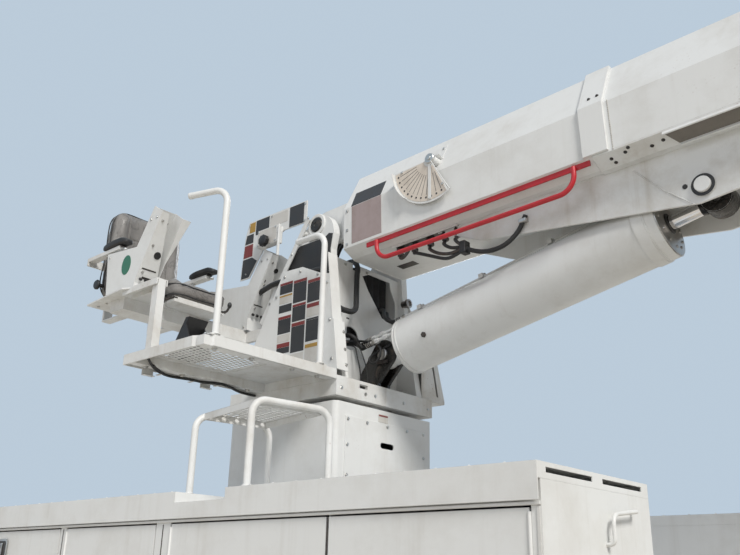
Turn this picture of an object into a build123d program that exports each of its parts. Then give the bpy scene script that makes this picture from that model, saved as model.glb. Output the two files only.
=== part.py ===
# Seat-controlled boom unit on the service body of a utility truck.
# Millimetres. The origin is on the slewing axis, in the plane where the subframe
# sits on the truck's chassis rails. X runs forward along the stowed boom, Z is up,
# and the operator's seat is on the -Y side, which is called the near side here.
import os
from math import atan2, cos, hypot, radians, sin, tan

from build123d import *

os.makedirs("parts", exist_ok=True)

# Service body: overall sizes
body_front_x = 1950
body_rear_x = -1500
body_half_width = 1220
pack_width = 650
pack_bottom_z = -450
roof_z = 661
lip_drop = 58
lip_overhang = 15
pack_wall = 5
roof_sheet = 4
tray_rise = 40
tray_gap_x = (406, 700)

# Wheel arch in each side pack
arch_x = -925
arch_radius = 475
arch_centre_z = -400

# Compartment doors: name, x from, x to, z from, z to, hinged edge
door_top_z = 592
door_bottom_z = -425
door_table = [
    ("front", 1196, 1920, door_bottom_z, door_top_z, "front"),
    ("middle", 375, 1196, door_bottom_z, door_top_z, "rear"),
    ("centre", -383, 285, door_bottom_z, door_top_z, "rear"),
    ("wheel", -1470, -430, 110, door_top_z, "bottom"),
]
compartment_x = [(-1495, -409), (-404, 327), (332, 1193.5), (1198.5, 1945)]
door_gap = 6
door_thickness = 22
door_sheet = 3
knuckle_clearance = 0.5

# Subframe and deck
rail_height = 150
rail_flange = 80
rail_centre_y = 420
rail_web = 10
deck_sheet = 6
cross_member_width = 70
cross_member_x = (-1440, -900, -386, 386, 1100, 1890)
chassis_bolt_x = 700
chassis_bolt_radius = 9

# Pedestal
pedestal_x = 772
pedestal_y = 731
pedestal_top_z = 1198
pedestal_wall = 12
pedestal_corner = 30
pedestal_flange = 24
swivel_hole_radius = 150
panel_y = 600
panel_foot = 404
panel_head = 63
panel_sheet = 5
panel_margin = 22
hand_slot = (100, 28)

# Slewing bearing
bearing_outer_radius = 345
bearing_inner_radius = 270
bearing_ring = 12
bearing_gap = 0.5

# Turret
turret_plate = 20
turret_rear_x = -400
turret_front_x = 386
turret_half_width = 366
beam_height = 75
wing_inner_y = 262
wing_plate = 44
wing_sheet = 6
wing_rear_x = -309
cover_x = 225
pivot_x = 140
pivot_height = 937.5
pivot_boss_radius = 112
pivot_pin_radius = 40

# Boom
boom_pitch = 2.0
boom_half_width = 273
boom_top_half_width = 150
boom_bottom_half_width = 200
boom_top_w = 280
boom_upper_fold_w = 47
boom_lower_fold_w = -180
boom_bottom_w = -215
boom_wall = 8
boom_start_u = 165
boom_end_u = 4400
section_space = 14
mid_end_u = 4560
inner_end_u = 4700
lug_inner_y = 215
lug_plate = 25
keel_clearance = 13
keel_plate = 10
rod_pin_u = 1954
rod_pin_w = -409

# Lift cylinder
lift_base_x = 395
lift_base_height = 239.5
barrel_radius = 142
barrel_wall = 12
rod_radius = 30
lift_eye_width = 50
lift_pin_radius = 30
lift_eye_radius = 62
pin_clearance = 0.1
slide_clearance = 0.3

turret_z = pedestal_top_z + 2 * bearing_ring + bearing_gap
turret_deck_z = turret_z + turret_plate
beam_top_z = turret_deck_z + beam_height
pivot_z = turret_deck_z + pivot_height
lift_base_z = turret_deck_z + lift_base_height
wing_outer_y = wing_inner_y + wing_plate
keel_half_width = barrel_radius + keel_clearance + keel_plate
body_length = body_front_x - body_rear_x
body_mid_x = (body_front_x + body_rear_x) / 2
pack_inner_y = body_half_width - pack_width
door_face_y = body_half_width - lip_overhang

boom_dir = Vector(cos(radians(boom_pitch)), 0, sin(radians(boom_pitch)))
boom_up = Vector(-sin(radians(boom_pitch)), 0, cos(radians(boom_pitch)))
pivot_point = Vector(pivot_x, 0, pivot_z)


def boom_section(u):
    """Plane across the boom, u along it from the pivot: local x is +Y, local y is up."""
    return Plane(origin=pivot_point + boom_dir * u, x_dir=(0, 1, 0), z_dir=boom_dir)


def boom_side(y):
    """Plane along the boom at a given y: local x is along the boom, local y is up."""
    return Plane(origin=pivot_point + Vector(0, y, 0), x_dir=boom_dir, z_dir=(0, -1, 0))


def boom_point(u, w):
    """X and Z of a point given along and above the boom's pivot."""
    point = pivot_point + boom_dir * u + boom_up * w
    return point.X, point.Z


def upright(y):
    """Plane parallel to the truck's side at a given y, extruding towards -Y."""
    return Plane.XZ.offset(-y)


def bent_tube(points, tube_radius, bends):
    """Round tube through points, with straight runs joined by circular bends of the given radii."""
    with BuildPart() as tube:
        start = points[0]
        heading = (points[1] - points[0]).normalized()
        for corner, after, bend in zip(points[1:-1], points[2:], bends):
            next_heading = (after - corner).normalized()
            turn = heading.get_angle(next_heading)
            setback = bend * tan(radians(turn / 2))
            bend_start = corner - heading * setback
            turning_axis = heading.cross(next_heading).normalized()
            with BuildSketch(Plane(origin=start, z_dir=heading)):
                Circle(tube_radius)
            extrude(amount=(bend_start - start).length)
            with BuildSketch(Plane(origin=bend_start, z_dir=heading)):
                Circle(tube_radius)
            bend_centre = bend_start + turning_axis.cross(heading) * bend
            revolve(axis=Axis(bend_centre, turning_axis), revolution_arc=turn)
            start = corner + next_heading * setback
            heading = next_heading
        with BuildSketch(Plane(origin=start, z_dir=heading)):
            Circle(tube_radius)
        extrude(amount=(points[-1] - start).length)
    return tube.part


def save(part, name):
    part.label = name
    export_step(part, f"parts/{name}.step")


# Subframe: two channel rails joined by cross members that reach the side packs
with BuildPart() as subframe:
    for side in (-1, 1):
        with BuildSketch(Plane.YZ.offset(body_rear_x)):
            with Locations((side * rail_centre_y, rail_height / 2)):
                Rectangle(rail_flange, rail_height)
            with Locations((side * (rail_centre_y - rail_web), rail_height / 2)):
                Rectangle(rail_flange, rail_height - 2 * rail_web, mode=Mode.SUBTRACT)
        extrude(amount=body_length)
    for x in cross_member_x:
        with BuildSketch(Plane.XY.offset(rail_height - 90)):
            with Locations((x, 0)):
                Rectangle(cross_member_width, 2 * pack_inner_y)
        extrude(amount=90)
    with Locations(*[(sx * chassis_bolt_x, sy * rail_centre_y, 0) for sx in (-1, 1) for sy in (-1, 1)]):
        Cylinder(chassis_bolt_radius, 4 * rail_web, mode=Mode.SUBTRACT)
save(subframe.part, "subframe")

# Deck plate between the side packs
with BuildPart() as deck:
    with BuildSketch(Plane.XY.offset(rail_height)):
        with Locations((body_mid_x, 0)):
            Rectangle(body_length, 2 * pack_inner_y)
    extrude(amount=deck_sheet)
save(deck.part, "deck")

# Bent rod that hooks a hose or rope on the near pack's front face
hook_stand_off = 25
hook_path = [
    # x, y, z
    (body_front_x - 2, -866, 510),
    (body_front_x + hook_stand_off, -866, 510),
    (body_front_x + hook_stand_off, -866, 590),
    (body_front_x + hook_stand_off, -706, 609),
    (body_front_x - 2, -706, 609),
]
rod_hook = bent_tube([Vector(*point) for point in hook_path], 6, (15, 30, 15))

# Side packs: hollow compartments with door openings and a wheel arch
pack_top_z = roof_z - roof_sheet
pack_depth = door_face_y - pack_inner_y
for side, side_name in ((-1, "near"), (1, "far")):
    outer_y = side * door_face_y
    with BuildPart() as side_pack:
        with BuildSketch(upright(outer_y)):
            with Locations((body_mid_x, (pack_top_z + pack_bottom_z) / 2)):
                Rectangle(body_length, pack_top_z - pack_bottom_z)
            with Locations((arch_x, arch_centre_z)):
                Circle(arch_radius, mode=Mode.SUBTRACT)
                with Locations((0, (pack_bottom_z - arch_centre_z) / 2)):
                    Rectangle(2 * arch_radius, arch_centre_z - pack_bottom_z, mode=Mode.SUBTRACT)
        extrude(amount=side * pack_depth)
        for x0, x1 in compartment_x:
            with BuildSketch(upright(side * (door_face_y - pack_wall))):
                with Locations(((x0 + x1) / 2, (pack_top_z + pack_bottom_z) / 2)):
                    Rectangle(x1 - x0, pack_top_z - pack_bottom_z - 2 * pack_wall)
                with Locations((arch_x, arch_centre_z)):
                    Circle(arch_radius + pack_wall, mode=Mode.SUBTRACT)
                with Locations((arch_x, pack_bottom_z)):
                    Rectangle(2 * (arch_radius + pack_wall), 2 * (arch_centre_z - pack_bottom_z),
                              mode=Mode.SUBTRACT)
            extrude(amount=side * (pack_depth - 2 * pack_wall), mode=Mode.SUBTRACT)
        for name, x0, x1, z0, z1, hinge in door_table:
            with BuildSketch(upright(outer_y)):
                with Locations(((x0 + x1) / 2, (z0 + z1) / 2)):
                    Rectangle(x1 - x0, z1 - z0)
            extrude(amount=side * 2 * pack_wall, mode=Mode.SUBTRACT)
        if side_name == "near":
            add(rod_hook)
    save(side_pack.part, f"side_pack_{side_name}")

# Compartment doors: folded sheet panels, open on the inside
for side, side_name in ((-1, "near"), (1, "far")):
    for name, x0, x1, z0, z1, hinge in door_table:
        width = x1 - x0 - 2 * door_gap
        height = z1 - z0 - 2 * door_gap
        with BuildPart() as door:
            with BuildSketch(upright(side * door_face_y)):
                with Locations(((x0 + x1) / 2, (z0 + z1) / 2)):
                    Rectangle(width, height)
            extrude(amount=side * door_thickness)
            with BuildSketch(upright(side * (door_face_y - door_sheet))):
                with Locations(((x0 + x1) / 2, (z0 + z1) / 2)):
                    Rectangle(width - 50, height - 50)
            extrude(amount=side * door_thickness, mode=Mode.SUBTRACT)
            if hinge == "bottom":
                knuckle_at = Plane(origin=((x0 + x1) / 2, side * door_face_y, z0 + door_gap), z_dir=(1, 0, 0))
                knuckle_length = width - 20
            else:
                knuckle_x = x0 + door_gap if hinge == "rear" else x1 - door_gap
                knuckle_at = Plane(origin=(knuckle_x, side * door_face_y, (z0 + z1) / 2), z_dir=(0, 0, 1))
                knuckle_length = height - 20
            with Locations(knuckle_at):
                Cylinder(door_gap - knuckle_clearance, knuckle_length)
        save(door.part, f"door_{side_name}_{name}")

# Roof covers: a sheet with a turned-down lip and raised trays on both sides of a walkway
tray_spans = [(body_rear_x, tray_gap_x[0]), (tray_gap_x[1], body_front_x)]
vent_size = (4 * roof_sheet, 250, 14)
vent_spacing = 310
with BuildPart() as roof_covers:
    for side in (-1, 1):
        mid_y = side * (body_half_width + pack_inner_y) / 2
        with BuildSketch(Plane.XY.offset(roof_z - roof_sheet)):
            with Locations((body_mid_x, mid_y)):
                Rectangle(body_length, pack_width)
        extrude(amount=roof_sheet)
        with BuildSketch(Plane.XY.offset(roof_z - roof_sheet)):
            with Locations((body_mid_x, side * (body_half_width - roof_sheet / 2))):
                Rectangle(body_length, roof_sheet)
        extrude(amount=-(lip_drop - roof_sheet))
        for x0, x1 in tray_spans:
            with BuildSketch(Plane.XY.offset(roof_z)):
                with Locations(((x0 + x1) / 2, mid_y)):
                    Rectangle(x1 - x0, pack_width)
                    Rectangle(x1 - x0 - 2 * roof_sheet, pack_width - 2 * roof_sheet, mode=Mode.SUBTRACT)
            extrude(amount=tray_rise)
            with BuildSketch(Plane.XY.offset(roof_z + tray_rise - roof_sheet)):
                with Locations(((x0 + x1) / 2, mid_y)):
                    Rectangle(x1 - x0, pack_width)
            extrude(amount=roof_sheet)
        with Locations((body_front_x, mid_y, roof_z + tray_rise / 2)):
            with GridLocations(1, vent_spacing, 1, 2):
                Box(*vent_size, mode=Mode.SUBTRACT)
save(roof_covers.part, "roof_covers")

# Pedestal: rounded box with a base flange, a bearing plate and an access opening
pedestal_base_z = rail_height + deck_sheet
panel_z = (pedestal_base_z + panel_foot, pedestal_top_z - panel_head)
with BuildPart() as pedestal:
    with BuildSketch(Plane.XY.offset(pedestal_base_z)):
        Rectangle(pedestal_x + 130, pedestal_y + 130)
        Rectangle(pedestal_x - 130, pedestal_y - 130, mode=Mode.SUBTRACT)
    extrude(amount=pedestal_flange)
    with BuildSketch(Plane.XY.offset(pedestal_base_z)):
        RectangleRounded(pedestal_x, pedestal_y, pedestal_corner)
        RectangleRounded(pedestal_x - 2 * pedestal_wall, pedestal_y - 2 * pedestal_wall,
                         pedestal_corner - pedestal_wall, mode=Mode.SUBTRACT)
    extrude(amount=pedestal_top_z - pedestal_base_z)
    with BuildSketch(Plane.XY.offset(pedestal_top_z - turret_plate)):
        RectangleRounded(pedestal_x, pedestal_y, pedestal_corner)
        Circle(swivel_hole_radius, mode=Mode.SUBTRACT)
    extrude(amount=turret_plate)
    with BuildSketch(Plane.YZ.offset(pedestal_x / 2)):
        with Locations((0, sum(panel_z) / 2)):
            Rectangle(panel_y - 2 * panel_margin, panel_z[1] - panel_z[0] - 2 * panel_margin)
    extrude(amount=-2 * pedestal_wall, mode=Mode.SUBTRACT)
save(pedestal.part, "pedestal")

# Access panel bolted over the opening, with a hand slot
with BuildPart() as access_panel:
    with BuildSketch(Plane.YZ.offset(pedestal_x / 2)):
        with Locations((0, sum(panel_z) / 2)):
            Rectangle(panel_y, panel_z[1] - panel_z[0])
        with Locations((0, panel_z[1] - 110)):
            SlotOverall(hand_slot[0], hand_slot[1], mode=Mode.SUBTRACT)
    extrude(amount=panel_sheet)
save(access_panel.part, "access_panel")

# Slewing bearing: fixed lower ring and turning upper ring
for name, z in (("bearing_ring", pedestal_top_z), ("slew_ring", pedestal_top_z + bearing_ring + bearing_gap)):
    with BuildPart() as ring:
        with BuildSketch(Plane.XY.offset(z)):
            Circle(bearing_outer_radius)
            Circle(bearing_inner_radius, mode=Mode.SUBTRACT)
        extrude(amount=bearing_ring)
    save(ring.part, name)

# Turret base: floor plate with a skirt of beams, a hole for the oil lines and a lifting notch in front
turret_length = turret_front_x - turret_rear_x
turret_mid_x = (turret_front_x + turret_rear_x) / 2
beam_inner_x = turret_front_x - turret_plate
with BuildPart() as turret_base:
    with BuildSketch(Plane.XY.offset(turret_z)):
        with Locations((turret_mid_x, 0)):
            Rectangle(turret_length, 2 * turret_half_width)
        Circle(swivel_hole_radius, mode=Mode.SUBTRACT)
    extrude(amount=turret_plate)
    with BuildSketch(Plane.XY.offset(turret_deck_z)):
        with Locations((turret_mid_x, 0)):
            Rectangle(turret_length, 2 * turret_half_width)
            Rectangle(turret_length - 2 * turret_plate, 2 * (turret_half_width - turret_plate),
                      mode=Mode.SUBTRACT)
    extrude(amount=beam_height)
    with BuildSketch(Plane.YZ.offset(turret_front_x)):
        with Locations((-175, beam_top_z - 26)):
            Rectangle(60, 20)
        with Locations((-158, turret_deck_z + 14)):
            Circle(11)
    extrude(amount=-2 * turret_plate, mode=Mode.SUBTRACT)
save(turret_base.part, "turret_base")

# Turret wings: two hollow side plates with an arched top round the boom's pivot, a rear plate
# between them, and a front cover with an opening for hoses
wing_outline = [
    # x, z
    (wing_rear_x, turret_deck_z),
    (beam_inner_x, turret_deck_z),
    (beam_inner_x, beam_top_z),
    (262, pivot_z - 300),
    (252, pivot_z - 160),
    (269, pivot_z - 75),
]
wing_crown = (115, pivot_z + 59)
wing_shoulder = (215, pivot_z + 32)
wing_back = [wing_crown, (-104, pivot_z - 210), (wing_rear_x, turret_deck_z + 351.5), wing_outline[0]]
rear_plate_height = 257
cover_height = 755
cover_opening = [
    # y, height above the turret's floor
    (-35, 705), (15, 633), (130, 507), (215, 490), (240, 540), (240, 622), (200, 688), (190, 730), (20, 730),
]
hose_hole = (-116, 338)
hose_hole_radius = 62
hose_notch = (-88, 50, 36)
with BuildPart() as turret_wings:
    for y in (-wing_inner_y, wing_outer_y):
        with BuildSketch(upright(y)):
            with BuildLine():
                Polyline(*wing_outline)
                ThreePointArc(wing_outline[-1], wing_shoulder, wing_crown)
                Polyline(*wing_back)
            make_face()
            with Locations((pivot_x, pivot_z)):
                Circle(pivot_pin_radius + pin_clearance, mode=Mode.SUBTRACT)
        extrude(amount=wing_plate)
    for side in (-1, 1):
        hollow_y = side * (wing_outer_y - wing_plate / 2)
        with BuildSketch(upright(hollow_y + wing_plate / 2 - wing_sheet)):
            Polygon(
                (wing_rear_x + 30, turret_deck_z + 20),
                (beam_inner_x - 40, turret_deck_z + 20),
                (230, pivot_z - 330),
                (-60, pivot_z - 330),
                (wing_rear_x + 30, turret_deck_z + 300),
                align=None,
            )
        extrude(amount=wing_plate - 2 * wing_sheet, mode=Mode.SUBTRACT)
    with BuildSketch(Plane.YZ.offset(wing_rear_x)):
        with Locations((0, turret_deck_z + rear_plate_height / 2)):
            Rectangle(2 * wing_inner_y, rear_plate_height)
    extrude(amount=turret_plate)
    with BuildSketch(Plane.YZ.offset(cover_x - wing_sheet / 2)):
        with Locations((0, turret_deck_z + cover_height / 2)):
            Rectangle(2 * wing_inner_y, cover_height)
        Polygon(*[(y, turret_deck_z + height) for y, height in cover_opening], align=None, mode=Mode.SUBTRACT)
        with Locations((hose_hole[0], turret_deck_z + hose_hole[1])):
            Circle(hose_hole_radius, mode=Mode.SUBTRACT)
        with Locations((hose_notch[0], turret_deck_z + cover_height)):
            Rectangle(hose_notch[1], 2 * hose_notch[2], mode=Mode.SUBTRACT)
    extrude(amount=wing_sheet)
save(turret_wings.part, "turret_wings")

# Boom pivot pin and lift cylinder base pin, both held by the turret
pin_overhang = 8
with BuildPart() as pivot_pin:
    with Locations(Plane(origin=(pivot_x, 0, pivot_z), z_dir=(0, 1, 0))):
        Cylinder(pivot_pin_radius, 2 * (wing_outer_y + pin_overhang))
save(pivot_pin.part, "pivot_pin")

# Greased ears that hold the lift cylinder's base: two plates on the turret's floor
ear_plate = 20
ear_gap = 1
ear_hub_radius = 75
ear_rear_x = 245
ear_outer_y = lift_eye_width / 2 + ear_gap + ear_plate
with BuildPart() as base_pin:
    with Locations(Plane(origin=(lift_base_x, 0, lift_base_z), z_dir=(0, 1, 0))):
        Cylinder(lift_pin_radius, 2 * (ear_outer_y + pin_overhang))
save(base_pin.part, "base_pin")

with BuildPart() as lift_clevis:
    for outer_y in (ear_plate - ear_outer_y, ear_outer_y):
        with BuildSketch(upright(outer_y)):
            Polygon(
                (ear_rear_x, turret_deck_z),
                (beam_inner_x, turret_deck_z),
                (beam_inner_x, beam_top_z + 22),
                (lift_base_x + 57, lift_base_z - 48),
                (lift_base_x - 62, lift_base_z + 42),
                (ear_rear_x, lift_base_z - 82),
                align=None,
            )
            with Locations((lift_base_x, lift_base_z)):
                Circle(ear_hub_radius)
                Circle(lift_pin_radius, mode=Mode.SUBTRACT)
        extrude(amount=ear_plate)
save(lift_clevis.part, "lift_clevis")

# Placard panel: upright plate on the platform beside the near wing, with a folded front edge
platform_rise = 102.5
platform_top_z = turret_deck_z + platform_rise
placard_y = -turret_half_width - 5
placard_sheet = 4
panel_front_edge = [
    # x, height above the platform
    (turret_front_x, 0), (349, 255), (300, 620),
]
fold_strip = [(x - placard_sheet, height) for x, height in reversed(panel_front_edge)]
placard_back_edge = [(316, 500), (249, 519), (115, 582), (-30, 588), (-230, 221), (-213, 0)]
placard_outline = panel_front_edge[:2] + placard_back_edge
bolted_strip = [(turret_front_x, 0), (turret_front_x + 6, 0), (355, 255), (349, 255)]
with BuildPart() as placard_panel:
    with BuildSketch(upright(placard_y + placard_sheet)):
        Polygon(*[(x, platform_top_z + height) for x, height in placard_outline], align=None)
    extrude(amount=placard_sheet)
    with BuildSketch(upright(-wing_outer_y)):
        Polygon(*[(x, platform_top_z + height) for x, height in panel_front_edge + fold_strip], align=None)
    extrude(amount=-placard_y - wing_outer_y)
    with BuildSketch(upright(-wing_outer_y + 12)):
        Polygon(*[(x, platform_top_z + height) for x, height in bolted_strip], align=None)
    extrude(amount=-placard_y - wing_outer_y + 12)
save(placard_panel.part, "placard_panel")

# Side cover: flared sheet cover on the far wing, open towards the wing
flare_rear_x = -250
flare_profile = [
    # y, height above the side beam
    (wing_outer_y, 0), (504, 0), (504, 18), (429, 255), (wing_outer_y, 540),
]
with BuildPart() as side_cover:
    with BuildSketch(Plane.YZ.offset(flare_rear_x)):
        Polygon(*[(y, beam_top_z + height) for y, height in flare_profile], align=None)
    extrude(amount=beam_inner_x - flare_rear_x)
    with BuildSketch(upright(turret_half_width + 200)):
        Polygon((beam_inner_x + 1, beam_top_z + 255), (262, pivot_z - 300), (beam_inner_x + 1, pivot_z - 300),
                align=None)
    extrude(amount=300, mode=Mode.SUBTRACT)
    offset(amount=-wing_sheet, openings=side_cover.faces().sort_by(Axis.Y)[:1])
    with BuildSketch(Plane.YZ.offset(beam_inner_x + 1)):
        with Locations((422, beam_top_z + 115)):
            Rectangle(16, 170, rotation=14)
    extrude(amount=-3 * wing_sheet, mode=Mode.SUBTRACT)
save(side_cover.part, "side_cover")

# Operator's platform: shallow tray with a chamfered near corner
platform_x = (-213, turret_front_x)
platform_y = (-1140, -turret_half_width)
platform_lip = 47
platform_sheet = 5
grating_x = (-90, 330)
grating_y = (-1080, -640)
with BuildPart() as platform:
    with BuildSketch(Plane.XY.offset(platform_top_z - platform_lip)):
        with BuildLine():
            Polyline(
                (platform_x[0], platform_y[1]),
                (platform_x[0], platform_y[0]),
                (platform_x[1] - 86, platform_y[0]),
                (platform_x[1], platform_y[0] + 50),
                (platform_x[1], platform_y[1]),
                close=True,
            )
        make_face()
    extrude(amount=platform_lip)
    offset(amount=-platform_sheet, openings=platform.faces().sort_by(Axis.Z)[:1])
    with Locations(((grating_x[0] + grating_x[1]) / 2, (grating_y[0] + grating_y[1]) / 2, platform_top_z)):
        Box(grating_x[1] - grating_x[0], grating_y[1] - grating_y[0], 4 * platform_sheet, mode=Mode.SUBTRACT)
    for x in (-150, 350):
        with BuildSketch(Plane.XZ.offset(-platform_y[1])):
            with Locations((x, platform_top_z - platform_sheet - 21)):
                Rectangle(50, 42)
        extrude(amount=platform_y[1] - platform_y[0] - platform_sheet)
save(platform.part, "operator_platform")

with BuildPart() as grating:
    with Locations(((grating_x[0] + grating_x[1]) / 2, (grating_y[0] + grating_y[1]) / 2,
                    platform_top_z - platform_sheet / 2)):
        Box(grating_x[1] - grating_x[0], grating_y[1] - grating_y[0], platform_sheet)
save(grating.part, "platform_grating")

# Grab rails: two bent tubes on the platform's front edge
rail_radius = 15
rail_bend = 70
rail_inset = 16
grab_rails_table = [
    # y, height, arm length, arm direction from -X towards -Y in degrees
    (-1077, 682, 210, 17),
    (-467, 674, 200, 0),
]
rails = []
for y, height, arm, turn in grab_rails_table:
    foot = Vector(platform_x[1] - rail_inset, y, platform_top_z)
    knee = foot + Vector(0, 0, height)
    tip = knee + Vector(-arm * cos(radians(turn)), -arm * sin(radians(turn)), 0)
    rails.append(bent_tube([foot, knee, tip], rail_radius, [rail_bend]))
with BuildPart() as grab_rails:
    add(rails)
save(grab_rails.part, "grab_rails")

# Seat frame: a beam from the near wing, a cut-out tray under the seat, a channel and a post to
# the platform, and bars that carry the back cushion and the armrests
seat_rise = 333
tray_sheet = 8
seat_tray_z = platform_top_z + seat_rise
seat_beam_z = seat_tray_z - tray_sheet - 30
seat_y = -735
back_y = -770
pan_height = 27
cushion_size = (440, 370, 110)
cushion_x = -430
back_size = (90, 460, 480)
back_x = -770
back_z = seat_tray_z + 332
back_bar_x = back_x - back_size[0] / 2 - slide_clearance
arm_y = (-1045, -495)
arm_size = (230, 60, 42)
arm_z = seat_tray_z + 334
post_at = (-40, -1110)
tray_outline = [
    # x, y
    (-640, -1130), (-277, -1160), (-216, -1130), (-197, -1032),
    (-345, -854), (-366, -679), (-366, -200), (-640, -200),
]
with BuildPart() as seat_frame:
    with BuildSketch(Plane.XY.offset(seat_tray_z - tray_sheet)):
        Polygon(*tray_outline, align=None)
    extrude(amount=tray_sheet)
    with Locations((-420, -(1090 + wing_outer_y) / 2, seat_beam_z)):
        Box(120, 1090 - wing_outer_y, 60)
    with Locations((-320, -wing_outer_y - 10, seat_beam_z)):
        Box(320, 20, 60)
    with Locations((cushion_x, seat_y, seat_tray_z + pan_height / 2)):
        Box(cushion_size[0] - 60, cushion_size[1] - 60, pan_height)
    with BuildSketch(Plane.YZ.offset(-300)):
        with Locations((post_at[1], seat_tray_z - 15)):
            Rectangle(60, 30)
        with Locations((post_at[1], seat_tray_z - 20)):
            Rectangle(48, 28, mode=Mode.SUBTRACT)
    extrude(amount=post_at[0] + 22 + 300)
    with Locations((post_at[0], post_at[1], (platform_top_z + seat_tray_z) / 2 - 3)):
        Box(44, 40, seat_tray_z - platform_top_z - 6)
    for y in (back_y - 140, back_y + 140):
        with Locations((back_bar_x - 6, y, (seat_tray_z + back_z + 150) / 2)):
            Box(12, 50, back_z + 150 - seat_tray_z + 16)
        with Locations(((back_bar_x - 400) / 2 - 6, y, seat_tray_z - tray_sheet / 2)):
            Box(-back_bar_x - 400 + 12, 50, tray_sheet)
    with Locations((back_bar_x - 6, back_y, arm_z - arm_size[2] / 2 - 20)):
        Box(12, arm_y[1] - arm_y[0] + 40, 40)
    for y in arm_y:
        with Locations(((back_bar_x - 520) / 2, y, arm_z - arm_size[2] / 2 - 10)):
            Box(-back_bar_x - 520, 40, 20)
save(seat_frame.part, "seat_frame")

# Seat: plain cushions with rounded corners
with BuildPart() as seat_cushion:
    with BuildSketch(Plane.XY.offset(seat_tray_z + pan_height + slide_clearance)):
        with Locations((cushion_x, seat_y)):
            RectangleRounded(cushion_size[0], cushion_size[1], 60)
    extrude(amount=cushion_size[2])
save(seat_cushion.part, "seat_cushion")

with BuildPart() as seat_back:
    with BuildSketch(Plane.YZ.offset(back_x - back_size[0] / 2)):
        with Locations((back_y, back_z)):
            RectangleRounded(back_size[1], back_size[2], 60)
    extrude(amount=back_size[0])
save(seat_back.part, "seat_back")

# Armrests: pads on their bars, rounded at the front
with BuildPart() as armrests:
    with BuildSketch(Plane.XY.offset(arm_z - arm_size[2] / 2)):
        with Locations(*[(-575, y) for y in arm_y]):
            RectangleRounded(arm_size[0], arm_size[1], 24)
    extrude(amount=arm_size[2])
save(armrests.part, "armrests")

# Where the loop hose goes into the far console
hose_radius = 14.5
hose_hole_clearance = 4
hose_end = (-276, -316, 646)

# Control consoles: an outer plate with a tapered front flange that leans forward, and an inner
# plate with a narrow flange at its top
console_plate = 4
console_depth = 120
console_outline = [
    # x, height above the tray
    (-586, 0), (-629, 289), (-357, 262), (-236, 452), (-165, 402), (-341, 71), (-341, 0),
]
console_front = (console_outline[5], console_outline[4])
console_lean = Vector(console_front[1][0] - console_front[0][0], 0, console_front[1][1] - console_front[0][1])
flange_length = console_lean.length
console_toe = console_front[0][1] + console_plate
with BuildPart() as consoles:
    for y in (-1060, -340):
        front_foot = Vector(console_front[0][0], y, seat_tray_z + console_front[0][1])
        flange_normal = Vector(0, 1, 0).cross(console_lean.normalized())
        flange_plane = Plane(origin=front_foot, x_dir=(0, 1, 0), z_dir=flange_normal)
        for plate_y, depth in ((y, 0), (y + console_depth, 1)):
            with BuildSketch(upright(plate_y + console_plate / 2)):
                Polygon(*[(x, seat_tray_z + height) for x, height in console_outline], align=None)
            extrude(amount=console_plate)
        with BuildSketch(flange_plane):
            Polygon((-2, 0), (console_depth + 2, 0), (40, flange_length), (-2, flange_length), align=None)
            Polygon((console_depth - 2, 170), (console_depth + 2, 130), (console_depth + 50, flange_length),
                    (console_depth - 2, flange_length), align=None)
        extrude(amount=-console_plate)
        with BuildSketch(upright(y + console_depth)):
            with Locations((console_front[0][0] - console_plate / 2, seat_tray_z + console_toe / 2)):
                Rectangle(console_plate, console_toe)
        extrude(amount=console_depth)
    with Locations(Plane(origin=(hose_end[0], hose_end[1], turret_deck_z + hose_end[2]), z_dir=(1, 0, 0))):
        Cylinder(hose_radius + hose_hole_clearance, 60, mode=Mode.SUBTRACT)
save(consoles.part, "control_consoles")

# Loop hose: up from the turret's floor, over the front cover, down in a loop, then behind the
# placard panel to the far console
hose_route = [
    # x, y, height above the turret's floor
    (66, -60, 0),
    (66, -60, 787),
    (250, -88, 787),
    (252, -105, 672),
    (317, -172, 441),
    (318, -350, 434),
    (285, -350, 655),
    (-140, -350, 650),
    hose_end,
]
hose_bends = (90, 88, 200, 76, 80, 100, 300)
hose_points = [Vector(x, y, turret_deck_z + height) for x, y, height in hose_route]
loop_hose = bent_tube(hose_points, hose_radius, hose_bends)
save(loop_hose, "loop_hose")

# Foot pedal: a leaning treadle on two side plates that stand on the platform
pedal_x = -60
pedal_y = -900
pedal_width = 110
pedal_sheet = 6
pedal_top = 190
with BuildPart() as foot_pedal:
    for y in (pedal_y - pedal_width / 2 + pedal_sheet, pedal_y + pedal_width / 2):
        with BuildSketch(upright(y)):
            Polygon((pedal_x - 80, platform_top_z), (pedal_x + 110, platform_top_z),
                    (pedal_x + 35, platform_top_z + pedal_top - 30), align=None)
        extrude(amount=pedal_sheet)
    with BuildSketch(upright(pedal_y + pedal_width / 2)):
        Polygon(
            (pedal_x - 90, platform_top_z + 6),
            (pedal_x - 76, platform_top_z),
            (pedal_x + 58, platform_top_z + pedal_top),
            (pedal_x + 30, platform_top_z + pedal_top),
            align=None,
        )
    extrude(amount=pedal_width)
save(foot_pedal.part, "foot_pedal")

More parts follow.
